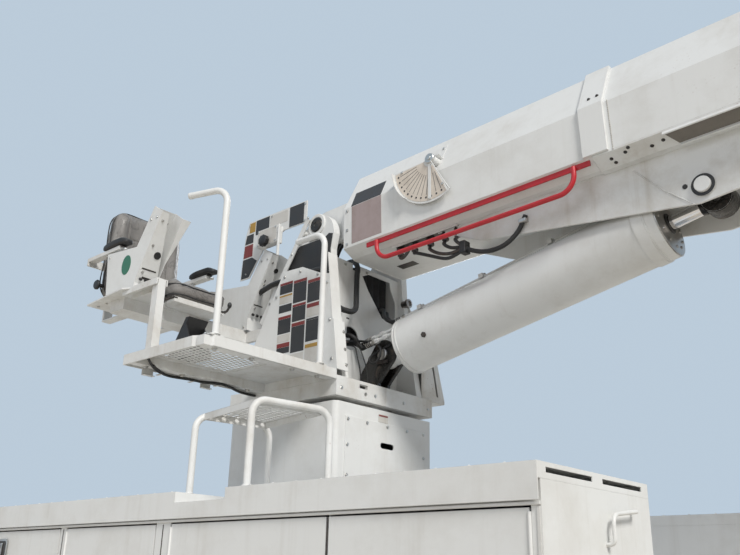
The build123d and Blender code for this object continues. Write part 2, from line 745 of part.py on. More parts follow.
# Sign board behind the pivot, on a slanting bar with two spacers, and a control box in front of it
board_sheet = 6
board_spacer = 13
board_back_y = -wing_outer_y - board_spacer
board_outline = [
    # x, height above the boom's pivot
    (74, 161), (-408, 160), (-435, 68), (-453, -189), (-375, -189), (-262, -30), (-100, 32), (74, 32),
]
bar_from = Vector(-237, 0, -487)
bar_to = Vector(94, 0, 40)
bar_width = 32
control_box_x = (-276, -114)
control_box_height = (-45, 56)
bar_middle = (bar_from + bar_to) / 2
bar_turn = Vector(1, 0, 0).get_angle(bar_to - bar_from)
with BuildPart() as sign_board:
    with BuildSketch(upright(board_back_y)):
        Polygon(*[(x, pivot_z + height) for x, height in board_outline], align=None)
    extrude(amount=board_sheet)
    with BuildSketch(upright(board_back_y - board_sheet)):
        with Locations((bar_middle.X, pivot_z + bar_middle.Z)):
            Rectangle((bar_to - bar_from).length, bar_width, rotation=bar_turn)
        with Locations((sum(control_box_x) / 2, pivot_z + sum(control_box_height) / 2)):
            Rectangle(control_box_x[1] - control_box_x[0], control_box_height[1] - control_box_height[0])
    extrude(amount=board_sheet)
    with BuildSketch(upright(board_back_y - 2 * board_sheet)):
        with Locations((sum(control_box_x) / 2, pivot_z + sum(control_box_height) / 2)):
            Rectangle(control_box_x[1] - control_box_x[0], control_box_height[1] - control_box_height[0])
    extrude(amount=35)
    with BuildSketch(upright(-wing_outer_y)):
        with Locations((-100, pivot_z - 275), (55, pivot_z - 30)):
            Circle(14)
    extrude(amount=board_spacer + board_sheet)
save(sign_board.part, "sign_board")

# Boom: folded plate section, closed at the rear, with two pivot lugs


def profile_points(inset):
    """Boom section pulled in by an inset, going round from bottom right to bottom left."""
    right = [
        (boom_bottom_half_width - 0.75 * inset, boom_bottom_w + inset),
        (boom_half_width - inset, boom_lower_fold_w + 0.75 * inset),
        (boom_half_width - inset, boom_upper_fold_w - 0.25 * inset),
        (boom_top_half_width - 0.6 * inset, boom_top_w - inset),
    ]
    return right + [(-y, w) for y, w in reversed(right)]


with BuildPart() as boom_outer:
    with BuildSketch(boom_section(boom_start_u)):
        Polygon(*profile_points(0), align=None)
        Polygon(*profile_points(boom_wall), align=None, mode=Mode.SUBTRACT)
    extrude(amount=boom_end_u - boom_start_u)
    with BuildSketch(boom_section(boom_start_u)):
        Polygon(*profile_points(0), align=None)
    extrude(amount=boom_wall)
    for y in (-lug_inner_y, lug_inner_y + lug_plate):
        with BuildSketch(boom_side(y)):
            with Locations((boom_start_u / 2 + 2, 0)):
                Rectangle(boom_start_u + 4, 2 * pivot_boss_radius - 20)
            Circle(pivot_boss_radius - 10)
            Circle(pivot_pin_radius + pin_clearance, mode=Mode.SUBTRACT)
        extrude(amount=lug_plate)
save(boom_outer.part, "boom_outer")

# Keel: two side plates under the boom that carry the lift cylinder's rod, with pin covers outside
# and filler plates along the boom's lower folds
keel_outline = [
    # along and above the boom's pivot
    (700, boom_bottom_w), (943, -330), (1930, -476), (2080, -463), (2400, -440), (3000, boom_bottom_w),
]
filler_u = (1570, 2290)
filler_plate = 8
pin_cover_radius = 42
pin_cover_height = 10
with BuildPart() as keel:
    for y in (-keel_half_width + keel_plate, keel_half_width):
        with BuildSketch(boom_side(y)):
            Polygon(*keel_outline, align=None)
        extrude(amount=keel_plate)
    for y in (-keel_half_width, keel_half_width + pin_cover_height):
        with BuildSketch(boom_side(y)):
            with Locations((rod_pin_u, rod_pin_w)):
                Circle(pin_cover_radius)
        extrude(amount=pin_cover_height)
    for side in (-1, 1):
        with BuildSketch(boom_section(filler_u[0])):
            Polygon(
                (side * keel_half_width, boom_bottom_w),
                (side * boom_bottom_half_width, boom_bottom_w),
                (side * boom_half_width, boom_lower_fold_w),
                (side * boom_half_width, boom_lower_fold_w - filler_plate),
                (side * boom_bottom_half_width, boom_bottom_w - filler_plate),
                (side * keel_half_width, boom_bottom_w - filler_plate),
                align=None,
            )
        extrude(amount=filler_u[1] - filler_u[0])
save(keel.part, "boom_keel")

# Collar band round the boom
with BuildPart() as collar:
    with BuildSketch(boom_section(1535)):
        Polygon(*profile_points(-14), align=None)
        Polygon(*profile_points(0), align=None, mode=Mode.SUBTRACT)
        with Locations((0, boom_lower_fold_w - 100)):
            Rectangle(3 * boom_half_width, 200, mode=Mode.SUBTRACT)
    extrude(amount=110)
save(collar.part, "boom_collar")

# Red guard: flat bar on the slope of the lower fold, with a tube loop below it
guard_bar_u = (314, 1553)
guard_bar_w = (boom_lower_fold_w - 29, boom_lower_fold_w - 3)
guard_bar_plate = 8
guard_bar_y = 11 - boom_half_width
guard_tube_radius = 11
guard_drop = 107
guard_loop_u = (391, 1482)
guard_loop_bend = 75
guard_y = guard_bar_y - guard_bar_plate / 2 - guard_tube_radius / 2
guard_top_w = sum(guard_bar_w) / 2
guard_points = [
    pivot_point + boom_dir * u + boom_up * w + Vector(0, guard_y, 0)
    for u, w in [
        (guard_loop_u[0], guard_top_w),
        (guard_loop_u[0], guard_top_w - guard_drop),
        (guard_loop_u[1], guard_top_w - guard_drop),
        (guard_loop_u[1], guard_top_w),
    ]
]
guard_loop = bent_tube(guard_points, guard_tube_radius, (guard_loop_bend, guard_loop_bend))
with BuildPart() as guard:
    with BuildSketch(boom_side(guard_bar_y + guard_bar_plate)):
        with Locations((sum(guard_bar_u) / 2, sum(guard_bar_w) / 2)):
            Rectangle(guard_bar_u[1] - guard_bar_u[0], guard_bar_w[1] - guard_bar_w[0])
    extrude(amount=guard_bar_plate)
    add(guard_loop)
    with BuildSketch(boom_section(guard_bar_u[0] - 1)):
        Polygon(*profile_points(0), align=None)
    extrude(amount=guard_bar_u[1] - guard_bar_u[0] + 2, mode=Mode.SUBTRACT)
save(guard.part, "guard_rail")

# Angle plate: a fan-shaped scale with a folded rim, a hub and a pointer that hangs straight down
fan_centre = (760, 113)
fan_radius = 228
fan_plate = 4
fan_stand_off = 19
fan_from = 181
fan_to = 296
rim_to = 240
hub_radius = 22
pointer_size = (14, 215)
fan_y = -boom_half_width - fan_stand_off


def fan_point(angle, radius):
    """Point of the fan-shaped scale in the boom's side plane, at an angle from the boom's direction."""
    return fan_centre[0] + radius * cos(radians(angle)), fan_centre[1] + radius * sin(radians(angle))


with BuildPart() as angle_plate:
    with BuildSketch(boom_side(fan_y)):
        with BuildLine():
            Polyline(fan_point(fan_to, fan_radius), fan_centre, fan_point(fan_from, fan_radius))
            ThreePointArc(fan_point(fan_from, fan_radius), fan_point((fan_from + fan_to) / 2, fan_radius),
                          fan_point(fan_to, fan_radius))
        make_face()
    extrude(amount=fan_plate)
    with BuildSketch(boom_side(-boom_top_half_width)):
        with Locations(fan_centre):
            Circle(hub_radius)
    extrude(amount=-fan_y - boom_top_half_width + 2 * fan_plate)
    with BuildSketch(boom_side(-boom_top_half_width)):
        with BuildLine():
            rim_angles = (fan_from, (fan_from + rim_to) / 2, rim_to)
            outer_rim = ThreePointArc(*[fan_point(angle, fan_radius) for angle in rim_angles])
            inner_rim = ThreePointArc(*[fan_point(angle, fan_radius - fan_plate) for angle in rim_angles])
            Line(outer_rim @ 0, inner_rim @ 0)
            Line(outer_rim @ 1, inner_rim @ 1)
        make_face()
    extrude(amount=-fan_y - boom_top_half_width)
    with BuildSketch(boom_section(fan_centre[0] - 2 * fan_radius)):
        Polygon(*profile_points(0), align=None)
    extrude(amount=4 * fan_radius, mode=Mode.SUBTRACT)
    hub_x, hub_z = boom_point(*fan_centre)
    with BuildSketch(upright(fan_y - fan_plate)):
        with Locations((hub_x, hub_z - pointer_size[1] / 2)):
            Rectangle(*pointer_size)
    extrude(amount=fan_plate)
save(angle_plate.part, "angle_plate")

# Inner boom sections, each inside the one before, with wear pads at the rear and at the mouth
section_inset = boom_wall + section_space
pad_space = section_space - slide_clearance
pad_width = 70
pad_length = 160
pad_edge = 80


def pad_spots(face_inset, direction):
    """Centres of four wear pads on a section's top and bottom faces, outside (1) or inside (-1) them."""
    top = boom_top_w - face_inset + direction * pad_space / 2
    bottom = boom_bottom_w + face_inset - direction * pad_space / 2
    top_y = boom_top_half_width - pad_edge
    bottom_y = boom_bottom_half_width - pad_edge
    return [(-top_y, top), (top_y, top), (-bottom_y, bottom), (bottom_y, bottom)]


for name, inset, start_u, end_u in (("boom_mid", section_inset, 700, mid_end_u),
                                    ("boom_inner", 2 * section_inset, 900, inner_end_u)):
    with BuildPart() as section:
        with BuildSketch(boom_section(start_u)):
            Polygon(*profile_points(inset), align=None)
            Polygon(*profile_points(inset + boom_wall), align=None, mode=Mode.SUBTRACT)
        extrude(amount=end_u - start_u)
        with BuildSketch(boom_section(start_u)):
            with Locations(*pad_spots(inset, 1)):
                Rectangle(pad_width, pad_space)
        extrude(amount=pad_length)
    save(section.part, name)

# Wear pads held in the mouths of the outer and middle sections
for name, inset, mouth_u in (("wear_pads", boom_wall, boom_end_u),
                             ("mid_pads", section_inset + boom_wall, mid_end_u)):
    with BuildPart() as pads:
        with BuildSketch(boom_section(mouth_u - 10)):
            with Locations(*pad_spots(inset, -1)):
                Rectangle(pad_width, pad_space)
        extrude(amount=-pad_length)
    save(pads.part, name)

# Boom tip: head plates with a sheave between them
tip_u = inner_end_u
tip_bore_radius = 20
sheave_pin_radius = 30
sheave_radius = 150
sheave_half_width = 25
with BuildPart() as boom_tip:
    for y in (-70, 90):
        with BuildSketch(boom_side(y)):
            Polygon((tip_u - 60, -120), (tip_u + 330, -160), (tip_u + 400, 60), (tip_u - 60, 180), align=None)
            with Locations((tip_u + 290, -60)):
                Circle(sheave_pin_radius, mode=Mode.SUBTRACT)
            with Locations((tip_u + 80, -20)):
                Circle(tip_bore_radius, mode=Mode.SUBTRACT)
        extrude(amount=20)
    with BuildSketch(boom_section(tip_u)):
        Polygon(*profile_points(2 * section_inset), align=None)
    extrude(amount=12)
save(boom_tip.part, "boom_tip")

sheave_x, sheave_z = boom_point(tip_u + 290, -60)
with BuildPart() as sheave:
    with BuildSketch(Plane(origin=(sheave_x, 0, sheave_z), x_dir=(1, 0, 0), z_dir=(0, 0, 1))):
        Polygon(
            (sheave_pin_radius + pin_clearance / 2, -sheave_half_width),
            (sheave_radius, -sheave_half_width),
            (sheave_radius - 2 * sheave_half_width, 0),
            (sheave_radius, sheave_half_width),
            (sheave_pin_radius + pin_clearance / 2, sheave_half_width),
            align=None,
        )
    revolve(axis=Axis((sheave_x, 0, sheave_z), (0, 1, 0)))
save(sheave.part, "tip_sheave")

with BuildPart() as sheave_pin:
    with Locations(Plane(origin=(sheave_x, 0, sheave_z), z_dir=(0, 1, 0))):
        Cylinder(sheave_pin_radius, 200)
save(sheave_pin.part, "sheave_pin")

# Lift cylinder: barrel with a base eye, and a rod with an eye between the keel plates
rod_pin_x, rod_pin_z = boom_point(rod_pin_u, rod_pin_w)
lift_length = hypot(rod_pin_x - lift_base_x, rod_pin_z - lift_base_z)
lift_angle = atan2(rod_pin_z - lift_base_z, rod_pin_x - lift_base_x)
lift_dir = Vector(cos(lift_angle), 0, sin(lift_angle))
lift_origin = Vector(lift_base_x, 0, lift_base_z)
barrel_start = 140
barrel_end = 1525
head_length = 46
head_step = 5
rod_eye_radius = 62
piston_start = 560


def lift_section(distance):
    """Plane across the lift cylinder at a distance from its base pin."""
    return Plane(origin=lift_origin + lift_dir * distance, x_dir=(0, 1, 0), z_dir=lift_dir)


def eye_plane(point, half_width):
    """Plane at the far side of an eye whose hole runs along Y, extruding towards -Y."""
    return Plane(origin=point + Vector(0, half_width, 0), x_dir=(1, 0, 0), z_dir=(0, -1, 0))


with BuildPart() as lift_barrel:
    with BuildSketch(lift_section(barrel_start)):
        Circle(barrel_radius)
    extrude(amount=barrel_end - barrel_start)
    with BuildSketch(lift_section(barrel_end - 2 * head_length)):
        Circle(barrel_radius + head_step)
    extrude(amount=head_length)
    with BuildSketch(lift_section(barrel_start + 20)):
        Circle(barrel_radius - barrel_wall)
    extrude(amount=barrel_end - barrel_start - 60, mode=Mode.SUBTRACT)
    with BuildSketch(lift_section(barrel_end - 60)):
        Circle(rod_radius + pin_clearance)
    extrude(amount=80, mode=Mode.SUBTRACT)
    with BuildSketch(eye_plane(lift_origin, lift_eye_width / 2)):
        Circle(lift_eye_radius)
    extrude(amount=lift_eye_width)
    with BuildSketch(lift_section(30)):
        Rectangle(lift_eye_width, 2 * lift_eye_radius - 10)
    extrude(amount=barrel_start - 28)
    with BuildSketch(eye_plane(lift_origin, lift_eye_width)):
        Circle(lift_pin_radius + pin_clearance)
    extrude(amount=2 * lift_eye_width, mode=Mode.SUBTRACT)
save(lift_barrel.part, "lift_barrel")

rod_eye_width = 90
with BuildPart() as lift_rod:
    with BuildSketch(lift_section(piston_start)):
        Circle(barrel_radius - barrel_wall - slide_clearance)
    extrude(amount=60)
    with BuildSketch(lift_section(piston_start)):
        Circle(rod_radius)
    extrude(amount=lift_length - piston_start - 45)
    with BuildSketch(eye_plane(lift_origin + lift_dir * lift_length, rod_eye_width / 2)):
        Circle(rod_eye_radius)
        Circle(lift_pin_radius, mode=Mode.SUBTRACT)
    extrude(amount=rod_eye_width)
save(lift_rod.part, "lift_rod")

# Oil lines clipped along the top of the barrel, and two hose fittings that enter its rear face
line_radius = 9
line_table = [
    # y, start and end distance from the base pin
    (-30, 150, 1350),
    (5, 150, 1100),
]
clip_size = (80, 24)
fitting_table = [
    # y, height above the barrel's axis, distance of the free end from the base pin
    (-62, 97, -52),
    (-84, 64, -20),
]
fitting_radius = 9
collar_radius = 14
with BuildPart() as barrel_lines:
    for y, start, end in line_table:
        rise = (barrel_radius**2 - y**2) ** 0.5 + line_radius + slide_clearance
        with BuildSketch(lift_section(start)):
            with Locations((y, rise)):
                Circle(line_radius)
        extrude(amount=end - start)
    for distance in (260, 640, 1020):
        with BuildSketch(lift_section(distance)):
            with Locations((-12, barrel_radius + 10)):
                Rectangle(*clip_size)
            with Locations((0, barrel_radius - 26)):
                Rectangle(2 * clip_size[0], 2 * clip_size[1] + 4 + 2 * slide_clearance, mode=Mode.SUBTRACT)
        extrude(amount=24)
    for y, height, free_end in fitting_table:
        with BuildSketch(lift_section(free_end)):
            with Locations((y, height)):
                Circle(fitting_radius)
        extrude(amount=barrel_start - free_end)
        for collar_at in (free_end + 12, free_end + 70):
            with BuildSketch(lift_section(collar_at)):
                with Locations((y, height)):
                    RegularPolygon(collar_radius, 6)
            extrude(amount=26)
save(barrel_lines.part, "barrel_lines")

# Step stand: two tube loops and a tread, turned a little from the truck's axes
step_height = 379
step_turn = -10
step_length = 450
step_depth = 350
step_near_corner = (730, 70 - body_half_width)
step_tube = 14
step_bend = 60
step_foot_z = roof_z + tray_rise
step_top_z = roof_z + step_height
step_bar_z = step_top_z - step_tube
step_plane = Plane(origin=(step_near_corner[0], step_near_corner[1], 0), x_dir=(-cos(radians(step_turn)),
                   -sin(radians(step_turn)), 0), z_dir=(0, 0, 1))
step_loops = []
for along in (0, step_length):
    corners = [
        (along, 0, step_foot_z),
        (along, 0, step_bar_z),
        (along, -step_depth, step_bar_z),
        (along, -step_depth, step_foot_z),
    ]
    points = [step_plane.from_local_coords(Vector(*corner)) for corner in corners]
    step_loops.append(bent_tube(points, step_tube, (step_bend, step_bend)))
with BuildPart() as step_stand:
    add(step_loops)
save(step_stand.part, "step_stand")

with BuildPart() as step_tread:
    with BuildSketch(Plane(origin=step_plane.origin + Vector(0, 0, step_top_z - 36), x_dir=step_plane.x_dir,
                           z_dir=(0, 0, 1))):
        with Locations((step_length / 2, -step_depth / 2)):
            Rectangle(step_length - 2 * step_tube - 1, step_depth - 60)
    extrude(amount=30)
save(step_tread.part, "step_tread")
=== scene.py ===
"""Looks of a truck boom unit with seat controls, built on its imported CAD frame."""

import math

import bmesh
import bpy
from bpy.props import FloatProperty, FloatVectorProperty, IntProperty, PointerProperty
from bpy.types import Operator, Panel, PropertyGroup
from mathutils import Matrix, Vector
from mathutils.bvhtree import BVHTree


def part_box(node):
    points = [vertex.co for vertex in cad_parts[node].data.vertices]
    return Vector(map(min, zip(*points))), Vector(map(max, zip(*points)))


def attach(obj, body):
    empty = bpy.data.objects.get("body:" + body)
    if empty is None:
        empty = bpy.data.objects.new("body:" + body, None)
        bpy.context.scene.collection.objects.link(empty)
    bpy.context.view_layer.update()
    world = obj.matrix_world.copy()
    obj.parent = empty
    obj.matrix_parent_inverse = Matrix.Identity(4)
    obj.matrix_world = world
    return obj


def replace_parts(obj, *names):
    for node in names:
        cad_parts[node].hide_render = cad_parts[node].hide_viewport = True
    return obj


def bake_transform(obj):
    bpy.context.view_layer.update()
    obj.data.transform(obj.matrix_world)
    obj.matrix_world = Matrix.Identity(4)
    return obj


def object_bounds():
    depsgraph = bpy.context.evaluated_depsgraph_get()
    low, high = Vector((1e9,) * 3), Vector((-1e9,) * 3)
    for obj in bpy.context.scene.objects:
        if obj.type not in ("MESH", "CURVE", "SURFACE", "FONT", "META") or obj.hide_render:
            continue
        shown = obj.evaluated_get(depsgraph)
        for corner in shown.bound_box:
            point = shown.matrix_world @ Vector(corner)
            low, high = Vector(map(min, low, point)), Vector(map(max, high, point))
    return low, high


bl_info = {"name": "Truck boom unit", "version": (1, 0, 0), "blender": (4, 5, 0),
           "location": "3D View > Sidebar > Boom unit",
           "description": "Finishes and details for a truck boom unit with a control seat", "category": "Object",}

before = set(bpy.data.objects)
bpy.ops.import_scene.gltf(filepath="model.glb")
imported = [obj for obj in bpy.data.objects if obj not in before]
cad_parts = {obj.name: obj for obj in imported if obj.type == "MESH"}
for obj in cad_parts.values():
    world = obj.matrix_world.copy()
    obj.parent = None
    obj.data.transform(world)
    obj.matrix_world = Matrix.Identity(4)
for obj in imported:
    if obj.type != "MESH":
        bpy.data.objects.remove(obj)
cad_low, cad_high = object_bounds()

# Places shared by several pieces, in metres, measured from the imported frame
PIVOT = Vector((0.14, 0, 2.18))
BOOM_DIR = Vector((0.999391, 0, 0.034899))
BOOM_UP = Vector((-0.034899, 0, 0.999391))
BASE_PIN = Vector((0.395, 0, 1.482))
LIFT_DIR = Vector((0.978894, 0, 0.20437))
LIFT_UP = Vector((-0.20437, 0, 0.978894))
BARREL_RADIUS = 0.142
PANEL_Y = -0.371
BOARD_Y = -0.325
DECK_Z = 1.2425
# The rod eye's pin along and above the boom's pivot
ROD_EYE = (1.954, -0.409)
X, Y, Z = Vector((1, 0, 0)), Vector((0, 1, 0)), Vector((0, 0, 1))
SIDES = (-1, 1)

# Finishes that many pieces share
WHITE, WORN, RUBBER, PLASTIC = "white paint", "weathered white", "black rubber", "black plastic"
ZINC, DARK, STEEL = "zinc plate", "dark steel", "machined steel"
SLATE, WINE, AMBER, PALE = "slate enamel", "wine enamel", "amber enamel", "pale enamel"


def on_boom(along, across, above):
    """Point given along, across and above the boom's pivot."""
    return PIVOT + BOOM_DIR * along + Y * across + BOOM_UP * above


def on_barrel(along, across, above):
    """Point given along, across and above the lift cylinder's base pin."""
    return BASE_PIN + LIFT_DIR * along + Y * across + LIFT_UP * above


def facing(origin, normal, up=Z):
    """Placement with local z along normal and local y as near to up as it can be."""
    normal = Vector(normal).normalized()
    right = Vector(up).cross(normal).normalized()
    upward = normal.cross(right)
    rows = Matrix((right, upward, normal)).transposed().to_4x4()
    rows.translation = origin
    return rows


def move(x, y, z):
    return Matrix.Translation((x, y, z))


def spin(angle):
    return Matrix.Rotation(angle, 4, "Z")


def rect(x0, x1, y0, y1):
    """Corners of a rectangle."""
    return [(x0, y0), (x1, y0), (x1, y1), (x0, y1)]


def round_points(count, radius=1.0, start=0.0):
    """Points evenly round a circle."""
    angles = [start + 2 * math.pi * k / count for k in range(count)]
    return [(radius * math.cos(a), radius * math.sin(a)) for a in angles]


# Boom faces as placements: local x runs along the boom from its pivot, local y runs up the face
NEAR_SIDE = facing(on_boom(0, -0.273, 0), -Y, BOOM_UP)
SLOPE_RISE = (BOOM_UP * 0.233 + Y * 0.123).normalized()
NEAR_SLOPE = facing(on_boom(0, -0.273, 0.047), BOOM_DIR.cross(SLOPE_RISE), SLOPE_RISE)
BOOM_BEAD = (0.006, 0.005, 0.0042)
STEP_TURN = spin(math.radians(-10))


# Settings


def colour(name, description, default):
    return FloatVectorProperty(
        name=name, description=description, subtype="COLOR", size=3, min=0, max=1, default=default)


def length(name, description, low, high, default):
    return FloatProperty(name=name, description=description, unit="LENGTH", min=low, max=high, default=default)


def amount(name, description, high, default, **more):
    return FloatProperty(name=name, description=description, min=0, max=high, default=default, **more)


class FinishSettings(PropertyGroup):
    """Colours and amounts of the painted and bare finishes."""

    white: colour("White paint", "Gloss paint on plates and sheet metal", (0.74, 0.75, 0.745))
    red: colour("Red paint", "Paint on the boom's guard rail", (0.5, 0.012, 0.022))
    grey: colour("Grey paint", "Paint on the subframe", (0.13, 0.135, 0.14))
    vinyl: colour("Seat vinyl", "Cover of the seat cushions", (0.185, 0.175, 0.165))
    dirt: amount("Dirt", "How much dust and rain streaks show on the paint", 1, 0.45, subtype="FACTOR")
    chips: amount("Chips", "How far the paint is worn along its edges", 1, 0.35, subtype="FACTOR")


class FastenerSettings(PropertyGroup):
    """Sizes of the bolts, screws and rivets."""

    bolt: length("Bolt head", "Radius of a structural bolt's hexagon head", 0.004, 0.03, 0.013)
    screw: length("Screw head", "Radius of a cover screw's head", 0.002, 0.015, 0.0065)
    rivet: length("Rivet head", "Radius of a sheet rivet's head", 0.002, 0.01, 0.005)


class GratingSettings(PropertyGroup):
    """Sizes of the perforated platform floor and step tread."""

    hole: length("Hole", "Radius of one perforation", 0.002, 0.02, 0.0088)
    pitch: length("Pitch", "Distance between perforations", 0.01, 0.06, 0.0265)
    sides: IntProperty(name="Sides", description="Sides of one perforation", min=4, max=12, default=8)


class SeatSettings(PropertyGroup):
    """Padding of the operator's seat."""

    swell: length("Swell", "Farthest that padding may bulge", 0.002, 0.04, 0.016)
    pressure: amount("Pressure", "Stuffing pressure in the cover", 10, 4)
    stitch: length("Stitch", "Distance between stitches along a seam", 0.003, 0.02, 0.008)


class StageSettings(PropertyGroup):
    """Floor, light and background."""

    floor: colour("Floor", "Colour of the plain floor", (0.66, 0.61, 0.53))
    backdrop: colour("Background", "Colour seen behind the object", (0.5, 0.6, 0.7))
    key: amount("Key lamp", "Strength of the soft main light", 10, 2.9)
    sky: amount("Surrounding light", "Strength of the even light around the object", 2, 0.3)


SETTINGS = {
    "boom_unit_finishes": FinishSettings,
    "boom_unit_fasteners": FastenerSettings,
    "boom_unit_grating": GratingSettings,
    "boom_unit_seat": SeatSettings,
    "boom_unit_stage": StageSettings,
}


# Shader groups


class Wiring:
    """Adds nodes to a node tree and joins them."""

    def __init__(self, tree):
        self.tree = tree

    def add(self, kind, values=(), **settings):
        node = self.tree.nodes.new(kind)
        for name, value in settings.items():
            setattr(node, name, value)
        for name, value in dict(values).items():
            self.put(value, node.inputs[name])
        return node

    def put(self, value, socket):
        if isinstance(value, bpy.types.NodeSocket):
            self.tree.links.new(value, socket)
        elif isinstance(value, (tuple, list, Vector)) and socket.type == "RGBA":
            socket.default_value = (*value[:3], 1)
        else:
            socket.default_value = value

    def maths(self, operation, first, second=0.0, third=0.0, clamp=False):
        node = self.add("ShaderNodeMath", operation=operation, use_clamp=clamp)
        for socket, value in zip(node.inputs, (first, second, third)):
            self.put(value, socket)
        return node.outputs[0]

    def times(self, first, second, clamp=False):
        return self.maths("MULTIPLY", first, second, clamp=clamp)

    def plus(self, first, second, clamp=False):
        return self.maths("ADD", first, second, clamp=clamp)

    def off_centre(self, value):
        """Distance of a value from a half."""
        return self.maths("ABSOLUTE", self.maths("SUBTRACT", value, 0.5))

    def spread(self, value, low, high, to_low=0.0, to_high=1.0):
        return self.first(
            "ShaderNodeMapRange", {"Value": value, "From Min": low, "From Max": high, "To Min": to_low,
                "To Max": to_high})

    def mixed(self, share, first, second):
        node = self.add("ShaderNodeMix", data_type="RGBA")
        for index, value in ((0, share), (6, first), (7, second)):
            self.put(value, node.inputs[index])
        return node.outputs[2]

    def first(self, kind, values=(), **settings):
        """First output of a new node."""
        return self.add(kind, values, **settings).outputs[0]

    def place(self):
        return self.add("ShaderNodeTexCoord").outputs["Object"]

    def noise(self, place, scale, detail, roughness=0.5, distortion=0.0):
        return self.first(
            "ShaderNodeTexNoise", {"Vector": place, "Scale": scale, "Detail": detail, "Roughness": roughness,
                "Distortion": distortion})

    def cells(self, place, scale, **settings):
        return self.add("ShaderNodeTexVoronoi", {"Vector": place, "Scale": scale}, **settings).outputs

    def stretched(self, place, scale, detail, roughness):
        """Noise drawn out by a vector of scales."""
        return self.noise(
            self.first("ShaderNodeMapping", {"Vector": place, "Scale": scale}), 1.0, detail, roughness)

    def group(self, name, **values):
        return self.add("ShaderNodeGroup", values, node_tree=bpy.data.node_groups[name]).outputs

    # mixes towards a second colour by a mask: dirt, stains and fading in most finishes, painted shade in the seat
    # vinyl's creases
    def soiled_and_shaded(self, mask, soiling, colour, soil):
        return self.mixed(self.times(mask, soiling), colour, soil)

    def joined(self, *parts):
        node = self.add("GeometryNodeJoinGeometry")
        for part in parts:
            self.put(part, node.inputs[0])
        return node.outputs[0]

    def dressed(self, geometry, entry, result):
        """Gives the geometry the finish asked for and puts it out."""
        self.put(self.first("GeometryNodeSetMaterial", {"Geometry": geometry, "Material": entry["Finish"]}), result)

    def copies(self, points, instance, **more):
        """Real copies of an instance on points."""
        placed = self.first("GeometryNodeInstanceOnPoints", {"Points": points, "Instance": instance, **more})
        return self.first("GeometryNodeRealizeInstances", {"Geometry": placed})


SOCKETS = {float: "NodeSocketFloat", int: "NodeSocketInt", tuple: "NodeSocketVector",
           type(None): "NodeSocketMaterial"}


def new_group(name, kind, inputs, outputs=()):
    """New node group with sockets that fit their defaults; returns its wiring and its inner sockets."""
    group = bpy.data.node_groups.new(name, kind)
    if kind == "GeometryNodeTree":
        for way in ("INPUT", "OUTPUT"):
            group.interface.new_socket("Geometry", in_out=way, socket_type="NodeSocketGeometry")
    for label, default in inputs.items():
        socket = group.interface.new_socket(label, in_out="INPUT", socket_type=SOCKETS[type(default)])
        if default is not None:
            socket.default_value = default
    for label, form in dict(outputs).items():
        group.interface.new_socket(label, in_out="OUTPUT", socket_type=SOCKETS[form])
    return Wiring(group), group.nodes.new("NodeGroupInput").outputs, group.nodes.new("NodeGroupOutput").inputs


def shader_group(name, outputs, **inputs):
    return new_group(name, "ShaderNodeTree", inputs, outputs)


def build_grime():
    """Mask of dust patches and rain streaks."""
    net, entry, result = shader_group("grime", {"Mask": float}, Scale=3.0, Patches=0.5, Streaks=0.5)
    place = net.place()
    spots = net.spread(net.noise(place, entry["Scale"], 9, 0.66), 0.46, 0.78)
    lines = net.spread(net.stretched(place, (21, 21, 1.1), 6, 0.6), 0.55, 0.8)
    total = net.plus(net.times(spots, entry["Patches"]), net.times(lines, entry["Streaks"]), clamp=True)
    net.put(total, result["Mask"])


def build_edge():
    """Mask of rubbed edges, and the surface's normal with those edges softened."""
    net, entry, result = shader_group(
        "rubbed edge", {"Mask": float, "Normal": tuple}, Radius=0.002, Scale=30.0, Amount=0.5)
    soft = net.first("ShaderNodeBevel", {"Radius": entry["Radius"]}, samples=4)
    flat = net.add("ShaderNodeNewGeometry").outputs["Normal"]
    along = net.add("ShaderNodeVectorMath", operation="DOT_PRODUCT")
    net.put(soft, along.inputs[0])
    net.put(flat, along.inputs[1])
    bent = net.spread(along.outputs["Value"], 0.985, 0.8)
    gate = net.spread(net.noise(net.place(), entry["Scale"], 7, 0.7), 0.5, 0.6)
    net.put(net.times(net.times(bent, gate), entry["Amount"], clamp=True), result["Mask"])
    net.put(soft, result["Normal"])


def build_specks():
    """Mask of small rust specks in loose clusters."""
    net, entry, result = shader_group("specks", {"Mask": float}, Scale=60.0, Amount=0.5)
    place = net.place()
    dots = net.spread(net.cells(place, entry["Scale"])["Distance"], 0.22, 0.1)
    near = net.spread(net.noise(place, 2.3, 5, 0.6), 0.6, 0.72)
    net.put(net.times(net.times(dots, near), entry["Amount"], clamp=True), result["Mask"])


def build_peel():
    """Fine height of sprayed paint or moulded plastic."""
    net, entry, result = shader_group("peel", {"Height": float}, Scale=400.0, Dents=0.3)
    place = net.place()
    fine = net.times(net.noise(place, entry["Scale"], 2), 0.2)
    wide = net.times(net.noise(place, 5.0, 2, 0.4), entry["Dents"])
    net.put(net.plus(fine, wide), result["Height"])


def build_grain():
    """Height and creases of embossed vinyl."""
    net, entry, result = shader_group("vinyl grain", {"Height": float, "Creases": float}, Scale=260.0)
    place = net.place()
    bend = net.add("ShaderNodeTexNoise", {"Vector": place, "Scale": 40.0, "Detail": 3})
    shifted = net.add("ShaderNodeVectorMath", operation="MULTIPLY_ADD")
    for socket, value in zip(shifted.inputs, (bend.outputs["Color"], (0.012, 0.012, 0.012), place)):
        net.put(value, socket)
    cells = net.cells(shifted.outputs[0], entry["Scale"], feature="DISTANCE_TO_EDGE")
    pebble = net.spread(cells["Distance"], 0.0, 0.16)
    crease = net.spread(net.off_centre(net.noise(place, 9.0, 5, distortion=1.2)), 0.03, 0.0)
    net.put(net.maths("SUBTRACT", pebble, net.times(crease, 0.8)), result["Height"])
    net.put(crease, result["Creases"])


